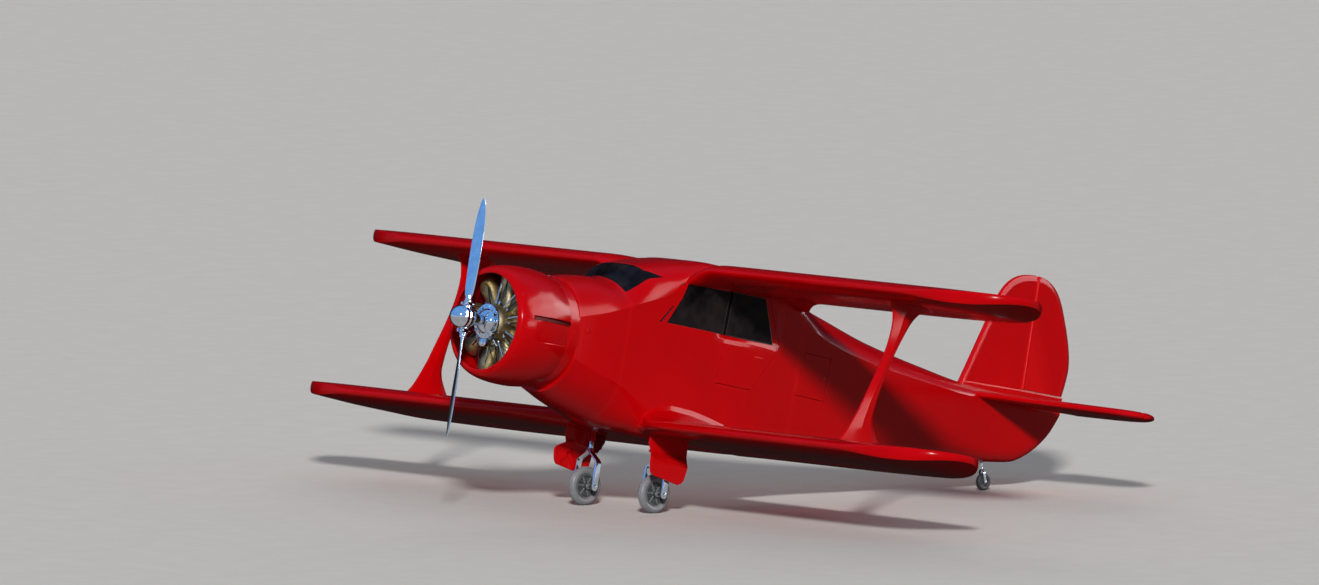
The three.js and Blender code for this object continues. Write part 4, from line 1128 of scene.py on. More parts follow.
@dataclass
class Fuselage:
    """The body from firewall to tail, with its cabin hollow, windows, windshield and panel lines."""

    shop: Workshop
    nodes: dict
    firewall: float = 1020.0
    tail_end: float = 7965.0
    crease: float = 9.0
    cut_from: float = 480.0
    cut_to: float = 640.0
    oil_door: tuple = ((1112, 30), (1176, 38), (1176, 98), (1112, 90))
    vent: tuple = (2252, 583, 702)
    glass_gap: float = 1.5
    seal_radius: float = 3.0

    def build(self) -> None:
        """Makes every fixed piece of the body."""
        self.forward()
        self.cabin()
        self.rear()
        self.windshield()
        self.trim()
        self.shop.repaint(self.nodes, SMOKED_GLASS, "side_glass_port", "side_glass_starboard",
                          "sliver_glass_port", "sliver_glass_starboard", "door_glass")

    def loft(self, front: float, rear: float, gap: float = 45.0) -> Shape:
        """Solid skin between two stations, through every table station between them."""
        inner = [row[0] for row in FUSELAGE if front < row[0] < rear]
        return Shape().loft(fuselage_rings(between([front, *inner, rear], gap)))

    def forward(self) -> None:
        """Section between the firewall and the windshield, with its panel line and access plates."""
        shop = self.shop
        made = shop.solid(self.loft(self.firewall, 1619.6), "nose_skin")
        self.side_lines(made, 1092.0, 5.0, 4.0)
        shop.finish(made, [RED_ENAMEL], "forward_fuselage", self.crease)
        plate = rounded(self.oil_door, 12)
        half = side_half(1144.0)
        for side, name in ((1, "oil_door_port"), (-1, "oil_door_starboard")):
            low, high = sorted([side * (half - 3), side * (half + 3.5)])
            shop.piece(Shape().slab(plate, Plane.SIDE, low, high, 1.5), name, RED_ENAMEL)

    def side_lines(self, made: Object, aft: float, wide: float, deep: float) -> None:
        """Cuts a panel line down each flat side.

        Args:
            made: the section's object.
            aft: the line's station.
            wide: its width.
            deep: its depth.
        """
        half = side_half(aft)
        across = (aft - wide / 2, aft + wide / 2)
        ports = [sorted([side * (half - deep), side * (half + 8)]) for side in (1, -1)]
        self.shop.carve(made, *(Shape().block(across, tuple(pair), (-232, 196)) for pair in ports))

    def cabin(self) -> None:
        """Cabin section, hollow, with the holes for its door, windows and windshield."""
        made = self.shop.solid(self.loft(1620.0, 3950.0, 32.0), "cabin_skin")
        hollow = fuselage_rings(between([CABIN["front"], 1950.0, 2380.0, 3100.0, CABIN["rear"]], 60.0), WALL)
        hollow[..., 2] = np.clip(hollow[..., 2], CABIN["floor"], CABIN["roof"])
        front = [(WINDSHIELD["front"], -WINDSHIELD["half"]), (WINDSHIELD["front"], WINDSHIELD["half"])]
        opening = np.vstack([windshield_edge(29), front])
        tools = [Shape().loft(hollow), Shape().slab(opening, Plane.PLAN, WINDSHIELD["low"], 1100.0),
                 prism(inset(DOOR, -DOOR_GAP), self.cut_from - 10, self.cut_to)]
        for left, right in ((FRONT_WINDOW, SIDE_WINDOW), (SLIVER_WINDOW, SLIVER_WINDOW)):
            tools += [prism(left, self.cut_from, self.cut_to), prism(right, -self.cut_to, -self.cut_from)]
        self.shop.carve(made, *tools)
        self.shop.mark(made, on_post)
        self.shop.finish(made, [RED_ENAMEL, SMOKED_TRIM], "cabin_shell", self.crease)

    def rear(self) -> None:
        """Tapering rear body with the baggage bay."""
        made = self.shop.solid(self.loft(3950.4, self.tail_end, 60.0), "tail_cone_skin")
        bay = Shape().block((4050, 4390), (-160, self.cut_to), (-155, 238))
        self.shop.carve(made, bay, prism(inset(HATCH, -DOOR_GAP), 430.0, self.cut_to))
        self.shop.finish(made, [RED_ENAMEL], "rear_fuselage", self.crease)

    def windshield(self) -> None:
        """One curved smoked pane let into the top of the cabin."""
        gap = self.glass_gap
        edge = windshield_edge(40)
        widest = WINDSHIELD_REAR[-1][1]
        front = np.column_stack([np.full(len(edge), WINDSHIELD["front"] + gap),
                                 edge[:, 1] * (WINDSHIELD["half"] - gap) / widest])
        rings = []
        for share in np.linspace(0, 1, 30):
            place = front + (edge - np.array([gap, 0]) - front) * share
            place[:, 1] *= 0.997
            faces = []
            for deep in (3.0, 12.0):
                height = [float(deck_height(aft, np.array([port]), deep)[0]) for aft, port in place]
                faces.append(np.column_stack([place, height]))
            rings.append(np.vstack([faces[0], faces[1][::-1]]))
        self.shop.piece(Shape().loft(rings), "windshield_pane", SMOKED_GLASS, "windshield")

    def seal(self, outline: list, side: int, shape: Shape) -> None:
        """Adds a rubber seal just inside a window's edge.

        Args:
            outline: the window, as aft and up.
            side: 1 to port, -1 to starboard.
            shape: the shape that the seal is added to.
        """
        points = filled(inset(outline, self.glass_gap), 60)
        rows = smooth_table(FUSELAGE, np.clip(points[:, 0], self.firewall, self.tail_end))
        half = rows[:, 3].copy()
        for k in np.nonzero(points[:, 1] > rows[:, 4])[0]:
            ports = np.linspace(300, half[k], 60)
            half[k] = float(np.interp(-points[k, 1], -deck_height(points[k, 0], ports), ports))
        path = np.column_stack([points[:, 0], side * (half - 15.0), points[:, 1]])
        shape.tube(path, self.seal_radius, 8, loop=True)

    def trim(self) -> None:
        """Rubber window seals and the vents on the roof's edges."""
        seals, vents = Shape(), Shape()
        for outline, side in ((FRONT_WINDOW, 1), (SIDE_WINDOW, -1), (SLIVER_WINDOW, 1), (SLIVER_WINDOW, -1)):
            self.seal(outline, side, seals)
        aft, port, up = self.vent
        for side in (1, -1):
            vents.rod((aft, side * port, up), (aft, side * (port - 17), up - 8), 11, bevel=2)
        self.shop.piece(seals, "window_seals", RUBBER_BLACK)
        self.shop.piece(vents, "roof_vents", RUBBER_BLACK)


@dataclass
class SideDoors:
    """Cabin door and baggage hatch on the port side, with their seal, handle and latch."""

    shop: Workshop
    crease: float = 9.0
    outside: float = 640.0
    handle: tuple = ((3330, 96), (3452, 92), (3452, 124), (3330, 128))
    latch: tuple = (4370.0, 40.0)
    hatch_thick: float = 30.0

    def build(self) -> None:
        """Makes both doors."""
        self.cabin_door()
        self.baggage_hatch()

    def skin(self, front: float, rear: float, thick: float) -> Shape:
        """Curved plate of the port side.

        Args:
            front: its front station.
            rear: its rear station.
            thick: its thickness.

        Returns:
            The plate.
        """
        stations = between([front, rear], 32.0)
        outer, inner = fuselage_rings(stations), fuselage_rings(stations, thick)
        start = 2 * ARCH_POINTS + SIDE_POINTS - 2
        pick = [*range(start, outer.shape[1]), *range(0, ARCH_POINTS // 2)]
        return Shape().loft([np.vstack([o[pick], i[pick][::-1]]) for o, i in zip(outer, inner)])

    def cabin_door(self) -> None:
        """Cabin door with its window cut, its seal and its handle."""
        shop = self.shop
        made = shop.solid(self.skin(2780.0, 3720.0, WALL), "cabin_door_skin")
        shop.carve(made, prism(DOOR, 400, self.outside), keep=True)
        shop.carve(made, prism(DOOR_WINDOW, 400, self.outside))
        shop.mark(made, on_post)
        shop.finish(made, [RED_ENAMEL, SMOKED_TRIM], "cabin_door", self.crease, "cabin_door")
        seal = Shape()
        Fuselage(shop, {}).seal(DOOR_WINDOW, 1, seal)
        shop.piece(seal, "door_window_seal", RUBBER_BLACK, body="cabin_door")
        half = side_half(3350.0)
        handle = Shape().slab(rounded(self.handle, 14), Plane.SIDE, half - 3, half + 1.6, 0.8)
        shop.piece(handle, "door_handle", RED_ENAMEL, body="cabin_door")

    def baggage_hatch(self) -> None:
        """Baggage hatch with a flush latch."""
        shop = self.shop
        made = shop.solid(self.skin(3960.0, 4470.0, self.hatch_thick), "baggage_hatch_skin")
        shop.carve(made, prism(HATCH, 300, self.outside), keep=True)
        shop.finish(made, [RED_ENAMEL], "baggage_hatch", self.crease, "baggage_hatch")
        aft, up = self.latch
        centre = (aft, side_half(aft) - 1, up)
        latch = Shape().lathe([(-3, 15), (1.2, 15), (2.2, 13), (2.2, 0)], centre, Axis.PORT.value, 28)
        shop.piece(latch, "hatch_latch", RED_ENAMEL, body="baggage_hatch")


# Wings
TIP = {"nose_port": 3700.0, "nose_share": 0.48, "tail_port": 2400.0, "tail_share": 0.52, "thin_port": 3900.0,
       "twist_share": 0.3, "thick": 65.0}
ROOT_PORT = 590.0
AIRFOIL = {"thick": 0.12 * CHORD, "camber": 0.08 * CHORD, "edge": 13.0}
# How the wing's rims are rounded: radii at the nose and the tail, and the trim at which the nose's is whole
RIM_ROUND = 15.0
TAIL_ROUND = 9.0
RIM_START = 0.006
CHORD_STEPS = 44


@dataclass(frozen=True)
class WingPlan:
    """One wing's place, root fairing and hinged surface."""

    edge_aft: float
    edge_up: float
    root_end: float
    nose_out: float
    nose_up: float
    tail_out: float
    tail_deep: float
    strake: bool
    hinge_share: float
    hinge_in: float
    hinge_out: float


UPPER = WingPlan(2300, 863, 910, 0, -130, 115, 90, False, 0.78, 2300, 4050)
LOWER = WingPlan(1790, -757, 1350, -200, 10, 60, 0, True, 0.8, 980, 2900)
# Strake over the lower wing's root: height of its crest at shares of the chord, and the share left to port
STRAKE_CREST = [(0.0, -648), (0.04, -612), (0.15, -560), (0.32, -511), (0.5, -521), (0.65, -551), (0.8, -598),
                (0.92, -700), (1.0, -880)]
STRAKE_SIDE = [(599, 1.0), (615, 0.7), (700, 0.2), (800, 0.06), (900, 0.0)]


def airfoil(share: np.ndarray) -> tuple[np.ndarray, np.ndarray]:
    """Wing section.

    Args:
        share: shares of the chord.

    Returns:
        Its half thickness and its camber there.
    """
    x = share
    curve = 0.2969 * np.sqrt(x) - 0.126 * x - 0.3516 * x ** 2 + 0.2843 * x ** 3 - 0.1036 * x ** 4
    return 5 * curve * AIRFOIL["thick"] + x * AIRFOIL["edge"], AIRFOIL["camber"] * x * (1 - x)


def tip_trim(port: float, start: float, share: float) -> tuple[float, float]:
    """How the rounded tip takes the chord away.

    Args:
        port: the distance to port.
        start: where the tip starts.
        share: the share of the chord that it takes at the very end.

    Returns:
        The share taken at this distance, and how steeply the outline runs in there.
    """
    t = min(0.99995, max(0.0, (port - start) / (HALF_SPAN - start)))
    root = math.sqrt(1 - t * t)
    return share * (1 - root), share * CHORD * t / (root * (HALF_SPAN - start))


def rim(distance: np.ndarray, radius: float) -> np.ndarray:
    """Share of the thickness that is left near a rounded rim.

    Args:
        distance: distances from the rim.
        radius: how far in the rounding reaches.

    Returns:
        The shares.
    """
    if radius < 1e-6:
        return np.ones_like(distance)
    return np.sqrt(np.clip(1 - (1 - np.clip(distance / radius, 0, 1)) ** 2, 0, 1))


def wing_ring(plan: WingPlan, port: float, strake: bool = False) -> np.ndarray:
    """Section of a wing, or of its strake, from the trailing edge over the top and back.

    Args:
        plan: the wing.
        port: the section's distance to port.
        strake: whether the strake's crest is drawn over the wing's top.

    Returns:
        Rows of aft, port and up.
    """
    steps = 0.5 - 0.5 * np.cos(np.linspace(0, math.pi, CHORD_STEPS + 1))
    nose, nose_slope = tip_trim(port, TIP["nose_port"], TIP["nose_share"])
    cut, tail_slope = tip_trim(port, TIP["tail_port"], TIP["tail_share"])
    thin = max(0.0, (port - TIP["thin_port"]) / (HALF_SPAN - TIP["thin_port"])) ** 2
    along = nose + (1 - cut - nose) * steps
    half, bend = airfoil(along)
    depth = np.minimum(2 * half, 2 * half + (TIP["thick"] - 2 * half) * thin)
    high, low = bend + half, bend + half - depth
    nose_round = RIM_ROUND * math.hypot(1, nose_slope) * min(1.0, nose / RIM_START)
    left = rim((along - nose) * CHORD, nose_round)
    left = left * rim((1 - cut - along) * CHORD, TAIL_ROUND * math.hypot(1, tail_slope))
    middle = (high + low) / 2
    high, low = middle + (high - middle) * left, middle + (low - middle) * left
    fade = max(0.0, min(1.0, (plan.root_end - port) / (plan.root_end - ROOT_PORT))) ** 2
    twist = thin * (along - TIP["twist_share"]) * CHORD * math.sin(INCIDENCE)
    forward, back = fade * (1 - steps) ** 4, fade * steps ** 8
    aft = plan.edge_aft + along * CHORD * math.cos(INCIDENCE) - forward * plan.nose_out + back * plan.tail_out
    line = plan.edge_up - along * CHORD * math.sin(INCIDENCE) + twist + forward * plan.nose_up
    over = line + high
    under = line + low - back * plan.tail_deep
    if strake:
        rise = np.maximum(0, np.interp(steps, *np.array(STRAKE_CREST).T) - over)
        over = over - 1.0 + np.interp(port, *np.array(STRAKE_SIDE).T) * rise
        under = under + 4.0
    ports = np.full(len(aft), port)
    return np.vstack([np.column_stack([aft, ports, over])[::-1], np.column_stack([aft, ports, under])[1:-1]])


@dataclass
class Wing:
    """One pair of wings with their hinged surfaces, ailerons above and flaps below."""

    shop: Workshop
    plan: WingPlan
    place: str
    surface: str
    crease: float = 24.0
    strake_ports: tuple = (540, 590, 599, 603, 607, 611, 615, 630, 650, 675, 700, 730, 765, 800, 850, 900)

    def build(self) -> None:
        """Makes the port wing and its surface, with their mirror images."""
        shop, p = self.shop, self.plan
        tip = 4600 + 274.5 * np.sin(np.linspace(0, math.pi / 2, 20))
        runs = [np.linspace(*run) for run in ((520, 1500, 24), (1560, 3600, 18), (3680, 4560, 15))]
        ports = np.concatenate([*runs, tip])
        panel = Shape().loft([wing_ring(p, port) for port in ports])
        wing, flap = (shop.solid(panel, f"{name}_skin_port") for name in (f"{self.place}_wing", self.surface))
        half, bend = (float(v) for v in airfoil(np.array(p.hinge_share)))
        aft = p.edge_aft + p.hinge_share * CHORD * math.cos(INCIDENCE)
        up = p.edge_up - p.hinge_share * CHORD * math.sin(INCIDENCE) + bend
        reach = (up - 400, up + 400)
        inner, outer = p.hinge_in + MOVE_GAP, p.hinge_out - MOVE_GAP
        rear = aft + CHORD
        shop.carve(wing, Shape().block((aft - half - MOVE_GAP, rear), (p.hinge_in, p.hinge_out), reach))
        shop.carve(flap, Shape().block((aft, rear), (inner, outer), reach), keep=True)
        shop.join(flap, Shape().rod((aft, inner, up), (aft, outer, up), half - 0.3, segments=40))
        shop.pair(wing, wing.name, RED_ENAMEL, f"{self.place}_wing_port", self.crease)
        shop.pair(flap, flap.name, RED_ENAMEL, f"{self.surface}_port", self.crease, f"{self.surface}_port")
        if p.strake:
            crest = Shape().loft([wing_ring(p, float(port), True) for port in self.strake_ports])
            shop.pair(crest, "root_strake_port", RED_ENAMEL, crease=self.crease)


# Interplane strut: up, front and rear of the section, half width
STRUT = [
    (-766, 2145, 2842, 51), (-720, 2163, 2800, 48), (-680, 2190, 2760, 46), (-590, 2262, 2690, 42),
    (-470, 2330, 2622, 39), (-390, 2370, 2604, 37), (-300, 2412, 2612, 36), (550, 2666, 2887, 38),
    (680, 2646, 2986, 41), (770, 2596, 3136, 46), (850, 2546, 3266, 50),
]
# Its section: share of the chord and of the half width, a wedge in front, a flat side and a wedge behind
STRUT_SECTION = [(0.0, 0.0), (0.006, 0.2), (0.025, 0.33), (0.22, 0.665), (0.415, 1.0), (0.62, 1.0),
                 (0.8, 0.9), (0.98, 0.2), (1.0, 0.08)]


@dataclass
class InterplaneStruts:
    """The single faired strut on each side, flared where it meets the wings."""

    shop: Workshop
    crease: float = 11.0
    stations: tuple = (-766.0, -590.0, -390.0, -300.0, 550.0, 680.0, 850.0)

    def build(self) -> None:
        """Makes the port strut and its mirror image."""
        steps, side = np.array(STRUT_SECTION).T
        rings = []
        for up, front, rear, half in smooth_table(STRUT, between(self.stations, 22.0)):
            aft = front + (rear - front) * steps
            out = np.concatenate([side * half, (-side * half)[::-1][:-1]])
            round_aft = np.concatenate([aft, aft[::-1][:-1]])
            rings.append(np.column_stack([round_aft, STRUT_PORT + out, np.full(len(out), up)]))
        strut = Shape().loft(rings)
        self.shop.pair(strut, "strut_fairing_port", RED_ENAMEL, "interplane_strut_port", self.crease)


# Cowl profiles: aft and radius
COWL_OUTER = [(250, 500), (252, 510), (257, 522), (275, 541), (320, 562), (400, 580), (520, 592),
              (640, 594), (760, 585), (895, 563)]
COWL_INNER = [(895, 551), (640, 582), (400, 560), (320, 525), (285, 495), (266, 483), (256, 484),
              (251, 491)]
SKIRT = [(896, 557), (898, 563), (940, 561), (1017, 556.5), (1019, 554), (1019, 544), (896, 551)]
# Side slots: where they start, then degrees above the middle of the side for their top, lip and lower end
SLOT = {"start": 396.0, "top": 11.6, "lip": 7.4, "bottom": -13.5, "deep": 26.0}


@dataclass
class Cowling:
    """Round cowl with a rolled lip and an air slot each side, and the skirt behind it."""

    shop: Workshop
    crease: float = 34.0
    fastener: Stud = Stud(6, 4.5, 2.2, 14, 0.6)

    def build(self) -> None:
        """Makes the cowl, its fasteners and the skirt."""
        shop = self.shop
        outer = np.array(COWL_OUTER, float)
        angle = self.angles()
        steps = np.concatenate([outer[:4, 0], np.linspace(290, 420, 6), np.linspace(432, 880, 30), [895.0]])
        radius = smooth_column(outer[:, 0], outer[:, 1], steps)
        rings = [self.ring(aft, r + self.relief(aft, angle), angle) for aft, r in zip(steps, radius)]
        for aft, r in COWL_INNER:
            rings.append(self.ring(aft, r - 16 * (300 < aft) * self.near(angle), angle))
        made = shop.solid(Shape().loft([*rings, rings[0]], False), "cowl_ring")
        # The slot mouths take the second finish, darker enamel painted in as shade.
        shop.mark(made, self.in_shaded_slot_mouth)
        shop.finish(made, [RED_ENAMEL, SHADE_PAINTED_ENAMEL], "cowl", self.crease)
        shop.piece(Shape().lathe(SKIRT, segments=128, loop=True), "cowl_flap_ring", RED_ENAMEL, "cowl_skirt")
        self.fasteners()

    def angles(self) -> np.ndarray:
        """Angles round the thrust line from straight up, closer together at the side slots.

        Returns:
            The angles in radians.
        """
        fine = np.radians(np.concatenate([np.linspace(77, 86, 31), np.linspace(86.5, 102, 26),
                                          np.linspace(102.3, 105, 10)]))
        front, last = np.linspace(0, np.radians(76.5), 34), np.linspace(np.radians(107), math.pi, 32)
        port = np.concatenate([front, fine, last])
        return np.concatenate([port, (2 * math.pi - port)[::-1][1:-1]])

    def above(self, angle: np.ndarray) -> np.ndarray:
        """Degrees above the middle of the side, of angles from straight up."""
        return 90 - np.degrees(np.where(angle > math.pi, 2 * math.pi - angle, angle))

    def near(self, angle: np.ndarray) -> np.ndarray:
        """One where an angle lies at one of the side slots, and nought elsewhere."""
        above = self.above(angle)
        return ((above < SLOT["top"] + 3) & (above > 1)).astype(float)

    def in_shaded_slot_mouth(self, aft: np.ndarray, port: np.ndarray, up: np.ndarray) -> np.ndarray:
        """Whether places lie in one of the side slots' mouths, which are given the painted shade."""
        above = np.degrees(np.arctan2(up, np.abs(port)))
        return (aft > SLOT["start"] + 12) & (above > SLOT["lip"] - 0.1) & (above < SLOT["top"] + 0.1)

    def relief(self, aft: float, angle: np.ndarray) -> np.ndarray:
        """How far the skin stands out for the side slots: a step in, then a lip and a ramp below it.

        Args:
            aft: the ring's place.
            angle: the angles of its points.

        Returns:
            Distances outwards, which are negative inwards.
        """
        above, lip = self.above(angle), SLOT["lip"]
        inside = np.clip((SLOT["top"] - above) / 0.4, 0, 1) * np.clip((above - lip) / 0.5, 0, 1)
        ramp = np.clip((lip - above) / 0.5, 0, 1) * np.clip((above - SLOT["bottom"]) / 0.9, 0, 1)
        deep = np.clip((aft - SLOT["start"]) / 26, 0, 1)
        grow = np.clip((aft - SLOT["start"]) / 320, 0, 1)
        return -SLOT["deep"] * deep * inside + (4 - 16 * grow) * deep * ramp

    def ring(self, aft: float, radius: np.ndarray, angle: np.ndarray) -> np.ndarray:
        """Ring of points about the thrust line."""
        return np.column_stack([np.full(len(angle), aft), radius * np.sin(angle), radius * np.cos(angle)])

    def fasteners(self) -> None:
        """Small dark quarter-turn fasteners round the lip and the rear edge."""
        places, facings = [], []
        for aft, radius, count, lean in ((300.0, 553.5, 16, 0.5), (872.0, 567.0, 24, -0.16)):
            for k in range(count):
                angle = 2 * math.pi * (k + 0.5) / count
                out = np.array([0.0, math.sin(angle), math.cos(angle)])
                places.append(out * radius + np.array([aft, 0, 0]))
                facings.append(out - np.array([lean, 0, 0]))
        self.shop.scatter(places, facings, "cowl_fasteners", RUBBER_BLACK, self.fastener)


# Engine: turned crankcase profile, cylinder profile as distance from the crankshaft and radius
NOSE_CASE = [(206, 0), (207, 34), (209, 56), (214, 74), (222, 90), (233, 104), (246, 115), (258, 122),
             (264, 126), (267, 134), (268, 168), (270, 174), (276, 177), (290, 177), (295, 174),
             (297, 168), (298, 120), (330, 112)]
CRANKCASE = [(300, 0), (300, 118), (318, 150), (340, 164), (366, 172), (400, 176), (640, 188),
             (656, 180), (700, 186), (1016, 184), (1018, 180), (1018, 0)]
BARREL = [(176, 56), (220, 68), (300, 88), (380, 104), (430, 108), (498, 104)]


@dataclass
class Engine:
    """Nine-cylinder radial engine with finned barrels, pushrods, leads, nose case and sump."""

    shop: Workshop
    cylinders: int = 9
    cylinder_aft: float = 520.0
    fin_pitch: float = 9.5
    fin_deep: float = 4.5
    case_bolts: int = 18
    case_bolt: Stud = Stud(6.5, 6.5, 7, 6, 1)

    def build(self) -> None:
        """Makes every part of the engine."""
        self.case()
        self.barrels()
        self.rods()
        baffle = [(566, 186), (563, 192), (560, 300), (563, 540), (566, 572), (570, 572), (567, 540),
                  (566, 300)]
        # The baffle takes the darker enamel as painted shade inside the cowl.
        self.shop.piece(Shape().lathe(baffle, segments=96, loop=True), "engine_baffle", SHADE_PAINTED_ENAMEL)
        self.sump()

    def place(self, reach: float, angle: float, aft: float, side: float = 0.0) -> np.ndarray:
        """Point at a distance from the crankshaft along a cylinder's own axis, and to its side."""
        return np.array([aft, reach * math.sin(angle) + side * math.cos(angle),
                         reach * math.cos(angle) - side * math.sin(angle)])

    def angles(self) -> list[float]:
        """Angles of the cylinders from straight up."""
        return [2 * math.pi * k / self.cylinders for k in range(self.cylinders)]

    def case(self) -> None:
        """Brass-coloured crankcase and chromed nose case, with its lugs and a ring of bolts."""
        self.shop.piece(Shape().lathe(CRANKCASE, segments=72), "crankcase", BRASS, "engine", 26)
        nose = Shape().lathe(NOSE_CASE, segments=96)
        for k in range(6):
            angle = math.pi * (k + 0.5) / 3
            nose.rod(self.place(96, angle, 236), self.place(140, angle, 272), 9, 12, 12, 2)
        self.shop.piece(nose, "nose_case", CHROME, crease=26)
        count = self.case_bolts
        places = [self.place(155, 2 * math.pi * (k + 0.5) / count, 267) for k in range(count)]
        self.shop.scatter(places, [(-1, 0, 0)] * count, "nose_case_bolts", CHROME, self.case_bolt)

    def barrels(self) -> None:
        """Finned barrels, domed heads with rocker boxes and spark plugs."""
        reaches, radii = np.array(BARREL, float).T
        profile = [(170.0, 0.0), (170.0, 42.0)]
        for reach in np.arange(196, 500, self.fin_pitch):
            radius = float(np.interp(reach, reaches, radii))
            root = radius - self.fin_deep
            profile += [(reach, root), (reach + 2.4, root), (reach + 3.4, radius), (reach + 5.6, radius),
                        (reach + 6.6, root)]
        profile += [(502, 84), (518, 87), (530, 85), (541, 77), (549, 62), (553, 40), (554, 0)]
        barrels, heads = Shape(), Shape()
        for angle in self.angles():
            barrels.lathe(profile, (self.cylinder_aft, 0, 0), self.place(1, angle, 0), 28)
            for side in (-1, 1):
                foot, head = self.place(470, angle, 462, side * 44), self.place(538, angle, 470, side * 40)
                heads.rod(foot, head, 19, 17, 16, 4)
                front, back = self.place(532, angle, 460, side * 40), self.place(532, angle, 560, side * 30)
                heads.rod(front, back, 17, 15, 16, 5)
                plug = self.place(500, angle, 452, side * 12)
                heads.rod(plug, plug - np.array([34, 0, 0]), 8, 5, 10, 2)
        self.shop.piece(barrels, "cylinder_barrels", BRASS, crease=24)
        self.shop.piece(heads, "rocker_boxes", CHROME)

    def rods(self) -> None:
        """Two pushrod tubes a cylinder, one chromed and one black, and the plug leads."""
        chrome, black = Shape(), Shape()
        for angle in self.angles():
            for side, shape in ((-1, chrome), (1, black)):
                foot = self.place(188, angle, 388, side * 24)
                head = self.place(508, angle, 452, side * 50)
                shape.rod(foot, head, 8.5, 8.5, 14)
                chrome.rod(foot, foot + 0.1 * (head - foot), 13, 10, 14, 2)
            lead = ((252, 0.35, 372), (330, 0.27, 392), (430, 0.12, 420), (498, 0.02, 424))
            path = smooth_path([self.place(reach, angle + turn, aft) for reach, turn, aft in lead], 14)
            black.tube(path, 4.5, 8)
        self.shop.piece(chrome, "pushrods_chromed", CHROME)
        self.shop.piece(black, "pushrods_and_leads", RUBBER_BLACK)

    def sump(self) -> None:
        """Chromed oil sump between the two lowest cylinders, with steel fittings beside it."""
        outline = rounded([(-62, -176), (62, -176), (56, -232), (30, -252), (-30, -252), (-56, -232)], 14)
        shape = Shape().slab(outline, Plane.FRONT, 262, 372, 10)
        shape.rod((256, 0, -212), (266, 0, -212), 26, 26, 28, 3)
        self.shop.piece(shape, "oil_sump", CHROME)
        fittings = Shape()
        for side in (1, -1):
            fittings.rod((268, side * 96, -158), (352, side * 96, -158), 24, 24, 20, 4)
            fittings.rod((258, side * 96, -158), (270, side * 96, -158), 13, 13, 6, 2)
            fittings.rod((300, side * 96, -158), (330, side * 150, -232), 10, 10, 14)
            fittings.rod((262, side * 132, -96), (330, side * 132, -96), 17, 17, 18, 3)
        self.shop.piece(fittings, "engine_accessories", STEEL)


# Propeller: hub profile, and blade sections as distance from the hub, chord, thickness and turn
HUB = [(-29.5, 0), (-29.5, 100), (-26, 104), (0, 110), (40, 103), (70, 82), (90, 60), (198, 55), (198, 0)]
BLADE = [
    (60, 54, 54, 40), (176, 60, 54, 38), (225, 84, 40, 36), (300, 98, 31, 34), (400, 107, 25, 31),
    (550, 117, 20, 26.5), (700, 120, 17, 22.5), (860, 115, 14, 20), (1000, 95, 11, 18), (1100, 67, 9, 17),
    (1160, 41, 7, 16), (1194, 14, 5, 16),
]
# Clamps round a blade's root: lower and upper end, and radius
CLAMPS = [(96, 118, 43), (118, 150, 38), (150, 166, 42), (166, 204, 34)]


@dataclass
class Propeller:
    """Two polished blades in a clamped hub behind a ball."""

    shop: Workshop
    ball_middle: float = -60.0
    ball_radius: float = 115.0
    blade_sides: int = 40
    clamp_bolt: Stud = Stud(6.5, 6.5, 7, 6, 0.5)
    ring_bolt: Stud = Stud(6, 6, 4, 6, 0.5)

    def build(self) -> None:
        """Makes the blades, the hub with its clamps and bolts, and the ball."""
        self.blades()
        self.hub()
        self.bolts()
        middle, radius = self.ball_middle, self.ball_radius
        turn = np.linspace(math.pi, math.acos(30 / radius), 40)
        arc = [(middle + radius * math.cos(a), radius * math.sin(a)) for a in turn]
        profile = [(middle - radius, 0), *arc[1:], (-33, 110), (-30.5, 108), (-30.5, 0)]
        ball = Shape().lathe(profile, segments=96)
        self.shop.piece(ball, "spinner_ball", CHROME, "spinner", 40, "propeller")

    def blades(self) -> None:
        """Both blades, twisted and thinned towards their round tips."""
        turn = np.linspace(0, 2 * math.pi, self.blade_sides, endpoint=False)
        tip = 1100 + 94.5 * np.sin(np.linspace(0.08, math.pi / 2, 14))
        reaches = np.concatenate([np.linspace(60, 1100, 44), tip])
        shape = Shape()
        for side in (1, -1):
            rings = []
            for reach, chord, thick, lean in smooth_table(BLADE, np.minimum(reaches, BLADE[-1][0])):
                across, through = chord / 2 * np.cos(turn), thick / 2 * np.sin(turn)
                tilt = math.radians(lean)
                port = across * math.cos(tilt) - through * math.sin(tilt)
                aft = across * math.sin(tilt) + through * math.cos(tilt)
                rings.append(np.column_stack([aft, side * port, np.full(self.blade_sides, side * reach)]))
            shape.loft(rings)
        self.shop.piece(shape, "propeller_blades", CHROME, "propeller", 50, "propeller")

    def hub(self) -> None:
        """Turned hub with a stepped clamp and two lugs at each blade's root."""
        hub = Shape().lathe(HUB, segments=72)
        for side in (1, -1):
            for low, high, radius in CLAMPS:
                hub.rod((0, 0, side * low), (0, 0, side * high), radius, radius, 36, 2.5)
            for lug, long in ((1, 52), (-1, 44)):
                hub.block((-long, long), (30 * lug, 46 * lug), (side * 120, side * 148), 3)
        self.shop.piece(hub, "propeller_hub", CHROME, crease=26, body="propeller")

    def bolts(self) -> None:
        """Bolts through the clamps' lugs and round the hub."""
        places = [(aft, 46 * lug, side * 134) for side in (1, -1) for lug in (1, -1) for aft in (-40, 40)]
        facings = [(0, math.copysign(1, port), 0) for _, port, _ in places]
        self.shop.scatter(places, facings, "hub_bolts", STEEL, self.clamp_bolt, "propeller")
        turns = np.linspace(0.4, 6.28 + 0.4, 13)[:-1]
        facings = [(0, math.sin(a), math.cos(a)) for a in turns]
        places = [(20, 104 * port, 104 * up) for _, port, up in facings]
        self.shop.scatter(places, facings, "hub_ring_bolts", STEEL, self.ring_bolt, "propeller")


